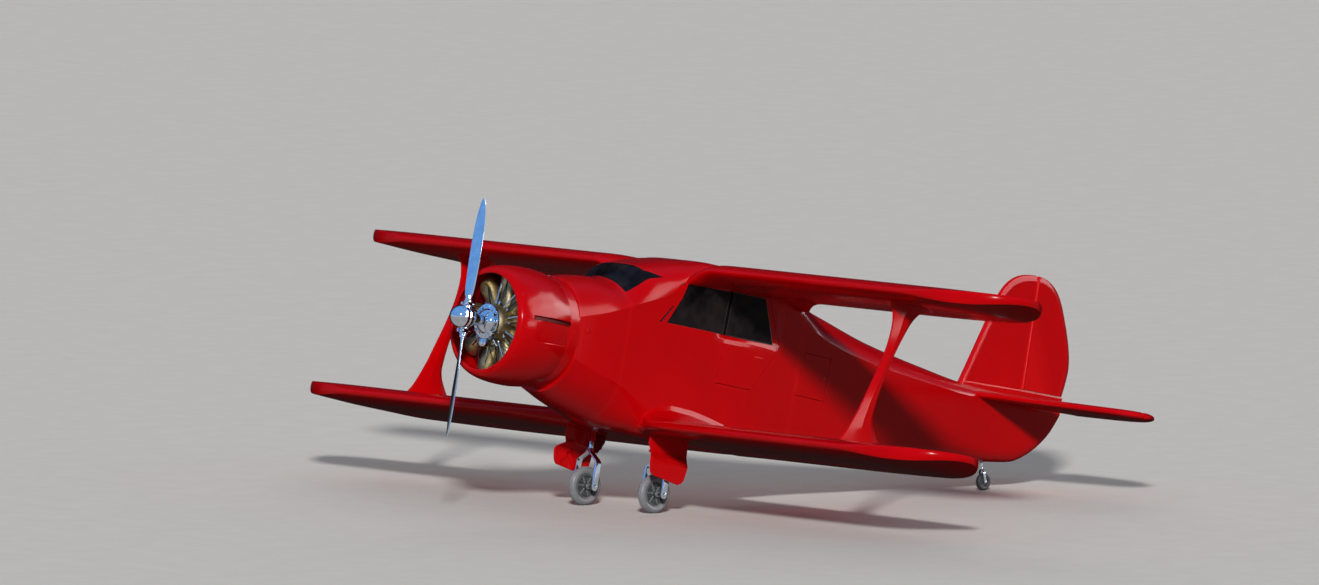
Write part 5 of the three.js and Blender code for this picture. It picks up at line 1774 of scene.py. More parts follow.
# Tail surfaces: outlines as aft and out, one point for a straight run and three for a curve
RUDDER_LOW = 337.0
FIN_OUTLINE = [
    [(6480, 80)], [(6880, 1150)], [(6970, 1385), (7100, 1492), (7380, 1492)],
    [(7600, 1492), (7715, 1372), (7800, 1200)], [(7935, 925), (8012, 720), (7994, 560)],
    [(7986, 490), (7975, 410), (7958, RUDDER_LOW)], [(7940, 80)],
]
STABILISER_OUTLINE = [
    [(6610, -60)], [(6670, 120)], [(7150, 1730)], [(7190, 1860), (7280, 1932), (7400, 1932)],
    [(7640, 1932), (8000, 1400), (8000, 760)], [(8000, -60)],
]
# Rim section of a tail surface: distance in from the edge and half thickness
TAIL_RIM = [(0, 9), (3, 15), (9, 20.5), (20, 26.5), (38, 33), (56, 37.4), (61, 38), (62, 37.9), (74, 34.7),
            (76, 34.6)]
# Fairing under the fin and rudder: its side, and its half thickness with the distance in from that outline
TAIL_BASE = [(6540, 190), (6600, 318), (7374, 333), (7958, 330), (7930, 190)]
TAIL_BASE_EDGE = [(38, 13), (34.8, 1.5), (32, 0)]
TAIL_UP = 200.0


@dataclass
class TailGroup:
    """Fin and rudder, stabilisers and elevators, each with a rounded rim band round a flat panel."""

    shop: Workshop
    crease: float = 12.0
    base_crease: float = 9.0
    hinge_radius: float = 37.0

    def plate(self, rows: list, plane: Plane, middle: float) -> Shape:
        """Whole surface, rounded to its rim, before it is split at the hinge.

        Args:
            rows: its outline, one point for a straight run and three for a curve.
            plane: the plane that it is drawn in.
            middle: where that plane stands.

        Returns:
            The surface.
        """
        outline = curved_outline(rows)
        counts = side_counts(outline, 45)
        section = [*reversed([(d, -h) for d, h in TAIL_RIM]), *TAIL_RIM]
        return Shape().loft([lift(divided(inset(outline, d), counts), plane, middle + h) for d, h in section])

    def build(self) -> None:
        """Makes all the tail surfaces."""
        shop = self.shop
        front_edge = HINGE_AFT - self.hinge_radius - MOVE_GAP
        upright = self.plate(FIN_OUTLINE, Plane.SIDE, 0.0)
        fin, rudder = shop.solid(upright, "fin_skin"), shop.solid(upright, "rudder_skin")
        shop.carve(fin, Shape().block((6300, front_edge), (-200, 200), (150, 1600)), keep=True)
        shop.finish(fin, [RED_ENAMEL], "fin", self.crease)
        shop.carve(rudder, Shape().block((HINGE_AFT, 8200), (-200, 200), (RUDDER_LOW, 1600)), keep=True)
        self.spar(rudder, (HINGE_AFT, 0, RUDDER_LOW), (HINGE_AFT, 0, 1482), 30)
        shop.finish(rudder, [RED_ENAMEL], "rudder", self.crease, "rudder")
        base = []
        for half, inward in [*((-h, d) for h, d in TAIL_BASE_EDGE), *reversed(TAIL_BASE_EDGE)]:
            base.append(lift(inset(filled(TAIL_BASE, 60), inward), Plane.SIDE, half))
        shop.piece(Shape().loft(base), "tail_base_fairing", RED_ENAMEL, crease=self.base_crease)
        level = self.plate(STABILISER_OUTLINE, Plane.PLAN, TAIL_UP)
        fixed, moving = shop.solid(level, "stabiliser_skin_port"), shop.solid(level, "elevator_skin_port")
        shop.carve(fixed, Shape().block((6400, front_edge), (60, 2000), (0, 400)), keep=True)
        shop.pair(fixed, fixed.name, RED_ENAMEL, "stabiliser_port", self.crease)
        region = [(HINGE_AFT, 135), (HINGE_AFT + 130, 135), (8200, 400), (8200, 2000), (HINGE_AFT, 2000)]
        shop.carve(moving, Shape().slab(region, Plane.PLAN, 0, 400), keep=True)
        self.spar(moving, (HINGE_AFT, 135, TAIL_UP), (HINGE_AFT, 1918, TAIL_UP), 26)
        shop.pair(moving, moving.name, RED_ENAMEL, "elevator_port", self.crease, "elevators")

    def spar(self, made: Object, start: tuple, end: tuple, end_radius: float) -> None:
        """Adds the round front edge on which a surface turns, between the ends of its hinge."""
        self.shop.join(made, Shape().rod(start, end, self.hinge_radius - 0.5, end_radius, 36, 6))


# Landing gear: heights of the main fork's top and bend, and the section of its arms
FORK = {"apex": -1042.0, "knee": -1150.0, "thick": 30.0, "wide": 70.0}
# Cover: front and rear edges as aft and up, and how far it bends in to the leg there
GEAR_COVER = [
    (2082, -796, 2572, -796, 102), (2070, -915, 2578, -925, 96), (2105, -996, 2575, -1006, 85),
    (2050, -1046, 2530, -1056, 12), (2040, -1080, 2534, -1088, 0), (2045, -1130, 2529, -1132, 0),
    (2052, -1165, 2519, -1185, 0), (2062, -1195, 2508, -1225, 0), (2076, -1215, 2486, -1256, 0),
    (2100, -1228, 2440, -1280, 0),
]
GEAR_PLATE = [(2405, -800), (2405, -1050), (2450, -1060), (2530, -940), (2530, -800)]
# Chromed piston housing, down from its top: distance and radius
OLEO = [(0, 36), (150, 36), (205, 36), (207, 40), (222, 40), (224, 38), (248, 37), (250, 30)]
# Wheel centres, half a profile: distance from the middle and radius, from the hub's bore to the rim
MAIN_WHEEL_RIM = [(60, 13.4), (60, 26), (56, 30), (22, 31), (9, 42), (8, 92), (15, 103), (23, 107), (27, 111),
                  (26, 116)]
TAIL_WHEEL_RIM = [(27, 7.2), (27, 12), (25, 14), (8, 15), (5, 20), (5, 30), (12, 34), (15, 36), (15, 39.6)]


def tyre_profile(radius: float, section: float, grooves: int) -> list:
    """Round tyre section with grooves round the tread and a raised ring on each sidewall.

    Args:
        radius: the tyre's outer radius.
        section: the radius of its section.
        grooves: the number of grooves.

    Returns:
        Pairs of distance along the axle and radius.
    """
    middle = radius - section
    found = []
    for k in range(96):
        angle = 2 * math.pi * k / 96
        signed = (angle + math.pi) % (2 * math.pi) - math.pi
        depth = 0.0
        for g in range(grooves):
            place = math.radians(8 + 15 * (g // 2)) * (1 if g % 2 else -1)
            depth = max(depth, 2.4 * max(0.0, 1 - abs(signed - place) / 0.05))
        ring = 0.9 * max(0.0, 1 - abs(abs(signed) - 1.15) / 0.07)
        size = section - depth + ring * 0.4
        found.append((size * math.sin(angle), middle + size * math.cos(angle)))
    return found


def rim_profile(half: list) -> list:
    """Whole profile of a wheel centre from its outer half."""
    return [*((-along, radius) for along, radius in half), *reversed(half)]


@dataclass
class MainGear:
    """Main legs, forks, covers and wheels."""

    shop: Workshop
    tyre_radius: float = 195.0
    tyre_section: float = 41.0
    cover_port: tuple = (722.0, 742.0)
    spoke: Stud = Stud(9, 6.5, 74, 14, 0)
    bolt: Stud = Stud(4, 4, 5, 6, 0.5)

    def build(self) -> None:
        """Makes the legs, their covers and the wheels."""
        self.fork()
        self.leg()
        self.covers()
        for side, name in ((1, "port"), (-1, "starboard")):
            self.wheel(side, name)

    def arm(self, shape: Shape, side: int) -> None:
        """Adds one side of the fork, a flat bar with eased edges and a round foot.

        Args:
            shape: the fork.
            side: 1 for the outer arm, -1 for the inner one.
        """
        aft, port, up = MAIN_WHEEL
        apex, knee, out = FORK["apex"], FORK["knee"], 147
        wide, thick = FORK["wide"] / 2, FORK["thick"] / 2
        path = [(apex + 26, 12, 0.8), (apex - 10, 20, 1.0), (apex - 30, 44, 1.0), (knee + 22, 126, 1.0),
                (knee + 6, 143, 1.0), (knee - 14, out, 1.0), (up + 30, out, 1.0), (up + 8, out, 1.1),
                (up - 14, out, 0.95), (up - 30, out, 0.7), (up - 39, out, 0.3)]
        corner = rounded([(-wide, -thick), (wide, -thick), (wide, thick), (-wide, thick)], 7, 4)
        rings = []
        for height, reach, share in path:
            away = port + side * (reach + corner[:, 1])
            rings.append(np.column_stack([aft + corner[:, 0] * share, away, np.full(len(corner), height)]))
        shape.loft(rings)

    def fork(self) -> None:
        """Chromed piston and fork with its axle."""
        aft, port, up = MAIN_WHEEL
        fork = Shape()
        for side in (1, -1):
            self.arm(fork, side)
        fork.rod((aft, port, -951), (aft, port, -1060), 27, 27, 32, 2)
        fork.rod((aft, port, -1030), (aft, port, -1062), 33, 33, 32, 4)
        fork.rod((aft, port - 150, up), (aft, port + 150, up), 12, 12, 24, 2)
        for side in (1, -1):
            fork.rod((aft, port + side * 160, up), (aft, port + side * 168, up), 21, 21, 6, 1.5)
        self.shop.pair(fork, "gear_fork_chromed_port", CHROME, "gear_fork_port", 36)

    def leg(self) -> None:
        """Red leg above the fork, with its torque rod and brace."""
        aft, port, _ = MAIN_WHEEL
        leg = Shape().lathe(OLEO, (aft, port, -700), (0, 0, -1), 40)
        leg.rod((aft - 52, port, -800), (aft - 52, port, -940), 9, 9, 14, 2)
        leg.rod((aft - 52, port, -925), (aft, port, -925), 8, 8, 12, 1)
        leg.rod((aft + 30, port + 6, -860), (aft + 150, port + 6, -800), 12, 12, 14, 2)
        self.shop.pair(leg, "gear_leg_red_port", RED_ENAMEL, "gear_oleo_port", 36)

    def covers(self) -> None:
        """Outer cover with its fold and back stiffener, and the inner plate."""
        inner, outer = self.cover_port
        rings = []
        for front, front_up, rear, rear_up, inward in GEAR_COVER:
            low, high = np.array([front, front_up]), np.array([rear, rear_up])
            ease = (high - low) / np.linalg.norm(high - low) * 3
            corners = [(low + ease, inner), (low, inner + 3), (low, outer - 3), (low + ease, outer),
                       (high - ease, outer), (high, outer - 3), (high, inner + 3), (high - ease, inner)]
            rings.append([(place[0], out - inward, place[1]) for place, out in corners])
        cover = Shape().loft(rings)
        self.ridge(cover)
        self.shop.pair(cover, "gear_cover_port", RED_ENAMEL, "gear_door_port", 20)
        brace = Shape()
        for start, end in (((2118, -1190), (2207, -1084)), ((2207, -1084), (2330, -1242))):
            a, b = np.array(start, float), np.array(end, float)
            side = np.array([-(b - a)[1], (b - a)[0]]) / np.linalg.norm(b - a) * 20
            brace.slab([a - side, b - side, b + side, a + side], Plane.SIDE, 708, 724, 2)
        brace.block((2150, 2210), (560, 640), (-1000, -976), 3)
        self.shop.pair(brace, "gear_cover_brace_port", RED_ENAMEL)
        plate = Shape().slab(rounded(GEAR_PLATE, 14), Plane.SIDE, 548, 560, 2)
        # The inner plate takes the darker enamel as painted shade in the gear well.
        self.shop.pair(plate, "gear_inner_plate_port", SHADE_PAINTED_ENAMEL, "gear_plate_port")

    def ridge(self, cover: Shape) -> None:
        """Adds a thin raised line along the cover's fold.

        Args:
            cover: the cover.
        """
        points = [(2080, 741, -1052), (2520, 742, -1088), (2520, 742, -1094), (2080, 741, -1058),
                  (2080, 745, -1055), (2520, 746, -1091)]
        cover.add(points, [(0, 1, 5, 4), (4, 5, 2, 3), (0, 4, 3), (1, 2, 5)])

    def wheel(self, side: int, name: str) -> None:
        """Tyre and dished centre, with spokes and bolts on both faces.

        Args:
            side: 1 to port, -1 to starboard.
            name: the side's name.
        """
        shop = self.shop
        aft, port, up = MAIN_WHEEL
        centre, axle, body = (aft, side * port, up), Axis.PORT.value, f"main_wheel_{name}"
        section = tyre_profile(self.tyre_radius, self.tyre_section, 4)
        tyre = Shape().lathe(section, centre, axle, 112, loop=True)
        shop.piece(tyre, f"tyre_{name}", TYRE_GREY, f"main_tyre_{name}", 30, body)
        middle = Shape().lathe(rim_profile(MAIN_WHEEL_RIM), centre, axle, 96, loop=True)
        shop.piece(middle, f"wheel_centre_{name}", WHEEL_GREY, f"main_rim_{name}", 30, body)
        spokes, ways, bolts, facings = [], [], [], []
        for k in range(6):
            out = turned(math.pi * k / 3)
            for face in (1, -1):
                spokes.append(np.array(centre) + out * 28 + np.array([0, face * 15, 0]))
                ways.append(out * 62 - np.array([0, face * 2, 0]))
        for k in range(12):
            out = turned(math.pi * (k + 0.5) / 6)
            for face in (1, -1):
                bolts.append(np.array(centre) + out * 68 + np.array([0, face * 8, 0]))
                facings.append((0, face, 0))
        shop.scatter(spokes, ways, f"wheel_spokes_{name}", WHEEL_GREY, self.spoke, body)
        shop.scatter(bolts, facings, f"wheel_bolts_{name}", STEEL, self.bolt, body)


def turned(angle: float) -> np.ndarray:
    """Direction at an angle round an axle, from straight aft upwards."""
    return np.array([math.cos(angle), 0, math.sin(angle)])


# Tail wheel fork's arm: aft, up, distance from the middle and share of its width
TAIL_FORK_ARM = [(0, 143, 6, 0.9), (0, 132, 11, 1), (2, 118, 22, 1), (4, 102, 32, 1), (6, 90, 36, 1),
                 (16, 44, 36, 1), (25, 12, 36, 1.05), (25, 0, 36, 1.1), (25, -9, 36, 0.8),
                 (25, -13.5, 36, 0.35)]


@dataclass
class TailGear:
    """Tail leg, castoring fork and wheel, in upright axes on the castor's line, level with the axle."""

    shop: Workshop
    trail: float = 25.0
    tyre_radius: float = 89.0
    tyre_section: float = 24.9
    bolt: Stud = Stud(2.6, 2.6, 3, 6, 0.4)

    def build(self) -> None:
        """Makes the leg, fork and wheel."""
        shop, upright = self.shop, self.shop.upright
        leg = Shape().lathe([(0, 15), (2, 21), (10, 22), (60, 22), (62, 25), (74, 25), (76, 22), (165, 22)],
                            (0, 0, 155), Axis.UP.value, 36)
        leg.rod((-24, 0, 214), (-70, 0, 268), 9, 9, 14, 2)
        leg.lathe([(0, 30), (34, 27), (60, 20)], (0, 0, 206), Axis.UP.value, 32)
        shop.piece(leg, "tail_leg_strut", GREY_ENAMEL, "tail_leg", 30, axes=upright)
        shop.piece(self.fork(), "tail_fork_chromed", CHROME, "tail_fork", 36, "tail_caster", upright)
        centre, axle = (self.trail, 0, 0), Axis.PORT.value
        section = tyre_profile(self.tyre_radius, self.tyre_section, 2)
        tyre = Shape().lathe(section, centre, axle, 80, loop=True)
        shop.piece(tyre, "tail_tyre_rubber", TYRE_BLACK, "tail_tyre", 30, "tail_wheel", upright)
        middle = Shape().lathe(rim_profile(TAIL_WHEEL_RIM), centre, axle, 64, loop=True)
        shop.piece(middle, "tail_wheel_centre", WHEEL_GREY, "tail_rim", 30, "tail_wheel", upright)
        bolts, ways = [], []
        for k in range(6):
            out = turned(math.pi * k / 3) * 24
            for face in (1, -1):
                bolts.append((self.trail + out[0], face * 5, out[2]))
                ways.append((0, face, 0))
        shop.scatter(bolts, ways, "tail_wheel_bolts", STEEL, self.bolt, "tail_wheel", upright)

    def fork(self) -> Shape:
        """Pivot, two bent arms and the axle with its nuts.

        Returns:
            The castoring fork.
        """
        trail = self.trail
        fork = Shape().rod((0, 0, 149.5), (0, 0, 130), 18, 18, 32, 3)
        corner = rounded([(-15, -4), (15, -4), (15, 4), (-15, 4)], 3, 4)
        level = np.ones(len(corner))
        for side in (1, -1):
            rings = []
            for back, high, out, share in TAIL_FORK_ARM:
                away = side * (out + corner[:, 1])
                rings.append(np.column_stack([back + corner[:, 0] * share, away, level * high]))
            fork.loft(rings)
            fork.rod((trail, side * 39.5, 0), (trail, side * 44, 0), 9, 9, 6, 1)
        return fork.rod((trail, -40, 0), (trail, 40, 0), 6, 6, 18)


# Furniture: outlines as aft and up, and the dials as port, up and radius
SEAT = [(2180, -250), (2160, -105), (2560, -130), (2690, 330), (2760, 330), (2660, -250)]
BENCH = [(3010, -250), (2990, -110), (3360, -130), (3430, 300), (3500, 300), (3470, -250)]
DIALS = [(265, 395, 42), (365, 385, 38), (165, 395, 38), (215, 305, 32), (315, 300, 32), (60, 390, 40),
         (-60, 390, 40), (-165, 395, 38), (-265, 395, 42), (-365, 385, 38), (0, 290, 30), (-100, 290, 30),
         (100, 290, 30)]


@dataclass
class Furniture:
    """Seats, rear bench, instrument panel and control wheel."""

    shop: Workshop
    seat_port: float = 265.0
    seat_half: float = 212.0
    bench_half: float = 476.0
    frame_half: float = 140.0
    softness: float = 0.7
    swell: float = 9.0
    pressure: float = 4.0
    frames_run: int = 20
    wheel_up: float = 210.0
    wheel_radius: float = 115.0
    switch: Stud = Stud(3.2, 4.6, 16, 12, 1)

    def build(self) -> None:
        """Makes everything inside the cabin."""
        seat, half = self.seat_port, self.seat_half
        self.cushion(SEAT, seat - half, seat + half, "front_seat_cushion_port", "front_seat_port", 14.0)
        self.cushion(BENCH, -self.bench_half, self.bench_half, "rear_bench_cushion", "rear_bench", 17.0)
        self.frames()
        self.panel()
        self.dials()
        self.yoke()
        self.carpet()

    def cushion(self, outline: list, low: float, high: float, name: str, node: str, voxel: float) -> None:
        """Padded seat of base and back in one, plumped by a cloth simulation and piped along its sides.

        Args:
            outline: the seat from its side, as aft and up.
            low: where it starts to port.
            high: where it ends.
            name: the object's name.
            node: the CAD node that it stands for.
            voxel: the size of its faces before it is smoothed.
        """
        shop = self.shop
        shape = Shape().slab(rounded(inset(outline, 9.0), 42, 6), Plane.SIDE, low + 9, high - 9, 20)
        made = shop.solid(shape, name)
        remesh = made.modifiers.new("even", "REMESH")
        remesh.mode = "VOXEL"
        remesh.voxel_size = voxel * MM
        shop.apply(made)
        self.plump(made)
        smooth = made.modifiers.new("smooth", "SUBSURF")
        smooth.levels = smooth.render_levels = 1
        shop.apply(made)
        if starboard(name) != name:
            pads = shop.pair(made, name, LEATHER, node, 80)
        else:
            pads = [shop.finish(made, [LEATHER], node, 80)]
        piping = Shape()
        edge = rounded(inset(outline, 14.0), 40, 8)
        for ports in ([low + 12, high - 12], [-low - 12, -high + 12])[:len(pads)]:
            for port in ports:
                piping.tube(lift(edge, Plane.SIDE, port), 4.5, 8, loop=True)
        shop.piece(piping, f"{name}_piping", LEATHER)

    def plump(self, made: Object) -> None:
        """Swells a cushion by a pressurised cloth simulation, with no point moving further than a cap.

        Args:
            made: the cushion.
        """
        rest = np.array([v.co for v in made.data.vertices], float)
        cloth = made.modifiers.new("cloth", "CLOTH")
        cloth.settings.use_pressure = True
        cloth.settings.uniform_pressure_force = self.pressure
        cloth.settings.effector_weights.gravity = 0.0
        cloth.settings.quality = 4
        cloth.point_cache.frame_start, cloth.point_cache.frame_end = 1, self.frames_run
        scene = bpy.context.scene
        for frame in range(1, self.frames_run + 1):
            scene.frame_set(frame)
        graph = bpy.context.evaluated_depsgraph_get()
        moved = np.array([v.co for v in made.evaluated_get(graph).data.vertices], float) - rest
        size = np.linalg.norm(moved, axis=1)[:, None]
        kept = rest + moved * np.minimum(1.0, self.swell * MM / np.maximum(size, 1e-9))
        made.modifiers.clear()
        made.data.vertices.foreach_set("co", kept.astype(np.float32).ravel())
        made.data.update()
        scene.frame_set(1)

    def frames(self) -> None:
        """Seat frames of tubes on runners, and the bench box."""
        low, high = self.seat_port - self.frame_half, self.seat_port + self.frame_half
        side = ((2240, -424), (2246, -350), (2262, -262), (2420, -258), (2560, -262), (2580, -350),
                (2590, -424))
        frame = Shape()
        for port in (low, high):
            frame.tube(smooth_path([(aft, port, up) for aft, up in side], 40), 9, 12)
            frame.block((2205, 2620), (port - 12, port + 12), (-429, -417), 3)
        for aft in (2262, 2420, 2560):
            frame.rod((aft, low, -262), (aft, high, -262), 8, 8, 14)
        self.shop.pair(frame, "seat_frame_tubes_port", CRACKLE, "seat_frame_port")
        box = Shape().block((3060, 3440), (-440, 440), (-429, -254), 6)
        self.shop.piece(box, "bench_base", CRACKLE, "bench_box")

    def panel(self) -> None:
        """Instrument panel that follows the cabin's inside, with its row of switches."""
        ports = np.linspace(500, -500, 41)
        top = np.column_stack([ports, np.minimum(deck_height(1720.0, ports, 60.0), 470.0)])
        shape = Shape().slab(np.vstack([top, [(-500, 60), (500, 60)]]), Plane.FRONT, 1702, 1738, 3)
        self.shop.piece(shape, "instrument_board", CRACKLE, "instrument_panel")
        places = [(1738, port, 118) for port in range(-120, 121, 30)]
        self.shop.scatter(places, [(1, 0, 0.3)] * len(places), "panel_switches", STEEL, self.switch)

    def dials(self) -> None:
        """Cases, glasses, tick marks and hands of the dials."""
        cases, glasses, marks = Shape(), Shape(), Shape()
        for port, up, radius in DIALS:
            case = [(0, radius), (5, radius), (7, radius - 2), (7, radius - 6), (2, radius - 8), (2, 0)]
            cases.lathe(case, (1737, port, up), segments=40)
            glasses.rod((1743, port, up), (1744, port, up), radius - 6, radius - 6, 32)
            for k in range(12):
                angle = math.pi * k / 6
                inner, outer = (self.on_dial(1740, port, up, radius - off, angle) for off in (14, 9))
                marks.rod(inner, outer, 0.9, 0.9, 6)
            hand = self.on_dial(1741, port, up, radius - 16, radius * 0.21 + port * 0.013)
            marks.rod((1741, port, up), hand, 1.5, 0.6, 8)
        self.shop.piece(cases, "dial_cases", STEEL)
        self.shop.piece(marks, "dial_marks", MARKING)
        self.shop.piece(glasses, "dial_glasses", DIAL_GLASS)

    def on_dial(self, aft: float, port: float, up: float, reach: float, angle: float) -> tuple:
        """Point at a distance and an angle from a dial's middle."""
        return (aft, port + reach * math.sin(angle), up + reach * math.cos(angle))

    def yoke(self) -> None:
        """Control wheel on its column."""
        seat, up, radius = self.seat_port, self.wheel_up, self.wheel_radius
        angle = np.linspace(0, 2 * math.pi, 56, endpoint=False)
        across, rise = radius * np.cos(angle), radius * np.sin(angle)
        ring = np.column_stack([np.full(56, 1960.0), seat + across, up + rise])
        shape = Shape().tube(ring, 9, 14, loop=True)
        shape.rod((1740.5, seat, up), (1962, seat, up), 12, 12, 24, 2)
        shape.rod((1950, seat, up), (1968, seat, up), 24, 20, 24, 4)
        shape.rod((1960, seat - radius + 3, up), (1960, seat + radius - 3, up), 8, 8, 14)
        shape.rod((1737, seat, up), (1748, seat, up), 26, 22, 24, 3)
        self.shop.piece(shape, "control_wheel", CRACKLE, "control_yoke")

    def carpet(self) -> None:
        """Carpet on the cabin floor, cut to the walls."""
        edge = []
        for ring in fuselage_rings(between([1664.0, 3556.0], 120.0), WALL + 3):
            low = ring[(ring[:, 2] < -300) & (ring[:, 1] > 0)]
            edge.append((ring[0][0], float(np.interp(-CABIN["floor"], -low[:, 2], low[:, 1]))))
        outline = np.vstack([edge, np.array(edge)[::-1] * np.array([1, -1])])
        self.shop.piece(Shape().slab(outline, Plane.PLAN, -429.5, -424, 1.5), "cabin_carpet", WOOL)


@dataclass
class Studio:
    """Camera, lights and the pale floor."""

    shop: Workshop

    # Directions of the picture's view in the frame: to the right, up, and back to the camera
    RIGHT = Vector((-0.75739, 0.65266, 0.01973))
    UP = Vector((-0.03366, -0.06918, 0.99702))
    BACK = Vector((0.65208, 0.75447, 0.07437))
    # Where it is aimed, to the right of the propeller and above it, and how wide it is, in metres
    AIM = (1.9136, 0.24136)
    WIDTH = 13.02
    LENS = 690.0
    SENSOR = 36.0
    FLOOR_HALF = 700.0
    # White panels: name, place, size and brightness, all turned to the aircraft's middle
    PANELS = (("band", (-10.5, 11.0, 7.4), (19.0, 7.4), 15.0),
              ("upper", (-9.0, 9.6, 12.9), (17.0, 5.0), 11.0),
              ("beside", (-1.5, 17.0, 3.3), (4.8, 2.6), 16.0))
    PANEL_COLOUR = (1.0, 0.98, 0.97)
    MIDDLE = Vector((0.5, 0.0, 1.2))
    # Level surfaces that the panels' gloss is kept off
    FLAGGED = ("upper_wing_skin", "lower_wing_skin", "aileron_skin", "flap_skin", "stabiliser_skin",
               "elevator_skin", "floor")
    # Colours that are seen in gloss at the horizon, overhead and below the horizon
    HORIZON = (0.62, 0.64, 0.67, 1.0)
    OVERHEAD = (0.17, 0.41, 0.86, 1.0)
    BELOW = (0.4, 0.4, 0.4, 1.0)
    # Even light from all round, and the wall behind the aircraft
    FILL = (0.125, 0.125, 0.13, 1.0)
    BACKDROP = (0.46, 0.45, 0.44, 1.0)

    def build(self) -> None:
        """Makes the camera, the floor, the world and the lights."""
        self.camera()
        self.floor()
        self.world()
        self.sun("key", (0.602, 0.69, 0.401), 2.55, 5.0, (1.0, 0.98, 0.95))
        self.sun("back", (-0.6, -0.7, 0.3), 0.9, 50.0, (1.0, 0.99, 0.98))
        flagged = self.flagged()
        for name, place, size, radiance in self.PANELS:
            self.soft_box(name, Vector(place), size, radiance, flagged)

    def camera(self) -> None:
        """Camera a long way off on a long lens, so that nothing converges."""
        distance = self.WIDTH * self.LENS / self.SENSOR
        target = Vector(self.shop.axes.origin) + self.RIGHT * self.AIM[0] + self.UP * self.AIM[1]
        data = bpy.data.cameras.new("view")
        data.lens = self.LENS
        data.sensor_width = self.SENSOR
        data.clip_start, data.clip_end = 10.0, 1000.0
        camera = self.shop.link("view", data)
        turn = Matrix((self.RIGHT, self.UP, self.BACK)).transposed().to_4x4()
        camera.matrix_world = Matrix.Translation(target + self.BACK * distance) @ turn
        bpy.context.scene.camera = camera

    def floor(self) -> None:
        """Wide level floor under the wheels, which throws no light back up and isn't seen in gloss."""
        far = self.FLOOR_HALF
        mesh = bpy.data.meshes.new("floor")
        mesh.from_pydata([(-far, -far, 0), (far, -far, 0), (far, far, 0), (-far, far, 0)], [], [(0, 1, 2, 3)])
        mesh.materials.append(self.shop.paint.material(FLOOR))
        floor = self.shop.link("floor", mesh)
        floor.visible_diffuse = False
        floor.visible_glossy = False

    def soft_box(self, name: str, place: Vector, size: tuple, radiance: float,
                 flagged: Collection) -> None:
        """White panel that faces the aircraft and shows only in its gloss.

        Args:
            name: the lamp's name.
            place: its middle, in metres.
            size: its width and height, in metres.
            radiance: how bright its face is.
            flagged: the surfaces that it doesn't light.
        """
        data = bpy.data.lights.new(name, "AREA")
        data.shape = "RECTANGLE"
        data.size, data.size_y = size
        data.energy = radiance * math.pi * size[0] * size[1]
        data.color = self.PANEL_COLOUR
        lamp = self.shop.link(name, data)
        lamp.location = place
        lamp.rotation_euler = (place - self.MIDDLE).to_track_quat("Z", "Y").to_euler()
        lamp.visible_diffuse = False
        lamp.visible_camera = False
        lamp.light_linking.receiver_collection = flagged

    def flagged(self) -> Collection:
        """Level surfaces that black flags keep out of the white panels' gloss.

        Returns:
            Their collection, each marked as left out.
        """
        flagged = bpy.data.collections.new("flagged")
        for made in bpy.data.objects:
            if made.name.startswith(self.FLAGGED):
                flagged.objects.link(made)
        for item in flagged.collection_objects:
            item.light_linking.link_state = "EXCLUDE"
        return flagged

    def sun(self, name: str, towards: tuple, strength: float, spread: float, colour: tuple) -> None:
        """Distant lamp.

        Args:
            name: the lamp's name; only the key is seen in gloss.
            towards: direction to it.
            strength: its power, in watts a square metre.
            spread: its width in degrees, which softens the shadows.
            colour: its colour.
        """
        data = bpy.data.lights.new(name, "SUN")
        data.energy = strength
        data.angle = math.radians(spread)
        data.color = colour
        lamp = self.shop.link(name, data)
        lamp.rotation_euler = Vector(towards).to_track_quat("Z", "Y").to_euler()
        lamp.visible_glossy = name == "key"

    def world(self) -> None:
        """Blue sky in the gloss, dark across from the camera, with even fill light and a grey wall."""
        world = bpy.data.worlds.new("studio")
        world.use_nodes = True
        tree = world.node_tree
        view = add_node(tree, "ShaderNodeTexCoord").outputs["Generated"]
        height = add_node(tree, "ShaderNodeSeparateXYZ", {"Vector": view}).outputs["Z"]
        share = add_node(tree, "ShaderNodeMapRange", {"Value": height, "From Min": 0.02, "From Max": 0.16})
        sky = add_node(tree, "ShaderNodeMix", {
            0: share.outputs["Result"], 6: self.HORIZON, 7: self.OVERHEAD}, data_type="RGBA")
        over = add_node(tree, "ShaderNodeMapRange", {"Value": height, "From Min": -0.03, "From Max": 0.0})
        whole = add_node(tree, "ShaderNodeMix", {
            0: over.outputs["Result"], 6: self.BELOW, 7: sky.outputs[2]}, data_type="RGBA")
        side = add_node(tree, "ShaderNodeVectorMath", {0: view, 1: tuple(self.BACK)}, operation="DOT_PRODUCT")
        screen = add_node(tree, "ShaderNodeMapRange", {
            "Value": side.outputs["Value"], "From Min": -0.72, "From Max": -0.35, "To Min": 0.03})
        screened = add_node(tree, "ShaderNodeVectorMath", {
            0: whole.outputs[2], "Scale": screen.outputs["Result"]}, operation="SCALE")
        ray = add_node(tree, "ShaderNodeLightPath").outputs
        lit = add_node(tree, "ShaderNodeMix", {
            0: ray["Is Diffuse Ray"], 6: screened.outputs[0], 7: self.FILL}, data_type="RGBA")
        shown = add_node(tree, "ShaderNodeMix", {
            0: ray["Is Camera Ray"], 6: lit.outputs[2], 7: self.BACKDROP}, data_type="RGBA")
        tree.links.new(shown.outputs[2], tree.nodes["Background"].inputs["Color"])
        bpy.context.scene.world = world
        bpy.context.scene.view_settings.view_transform = "Standard"


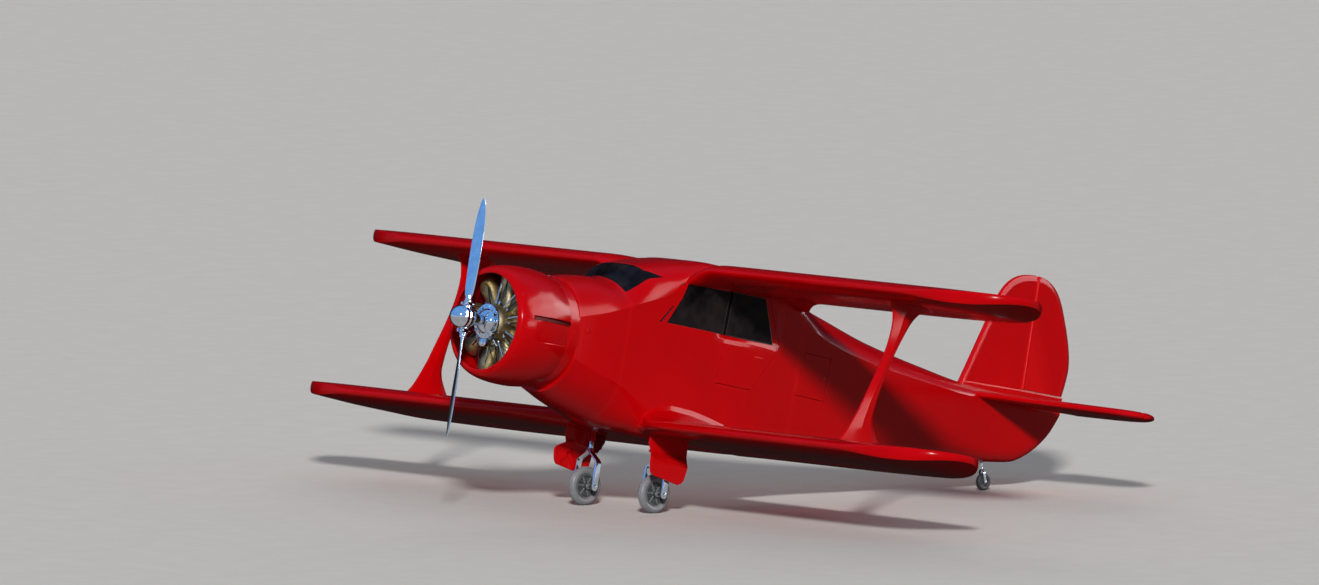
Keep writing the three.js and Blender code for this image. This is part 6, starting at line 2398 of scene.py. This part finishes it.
def main() -> None:
    """Loads the frame, builds every sub-assembly in order and hands the scene over."""
    logging.basicConfig(level=logging.INFO, format="%(message)s")
    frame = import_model()
    spin = next(joint for joint in frame["joints"] if joint["name"] == "propeller_spin")
    axes = BodyAxes.from_joint(spin)
    castor = axes.world(np.array([TAIL_WHEEL]))[0] + np.array([TailGear.trail * MM, 0, 0])
    shop = Workshop(axes, BodyAxes(castor, np.array([1.0, 0, 0]), np.array([0, 0, 1.0])))
    parts = [
        Fuselage(shop, frame["nodes"]), SideDoors(shop), Wing(shop, UPPER, "upper", "aileron"),
        Wing(shop, LOWER, "lower", "flap"), InterplaneStruts(shop), Cowling(shop), Engine(shop),
        Propeller(shop), TailGroup(shop), MainGear(shop), TailGear(shop), Furniture(shop), Studio(shop),
    ]
    for part in parts:
        LOG.info("building %s", type(part).__name__)
        part.build()


if __name__ == "__main__":
    main()
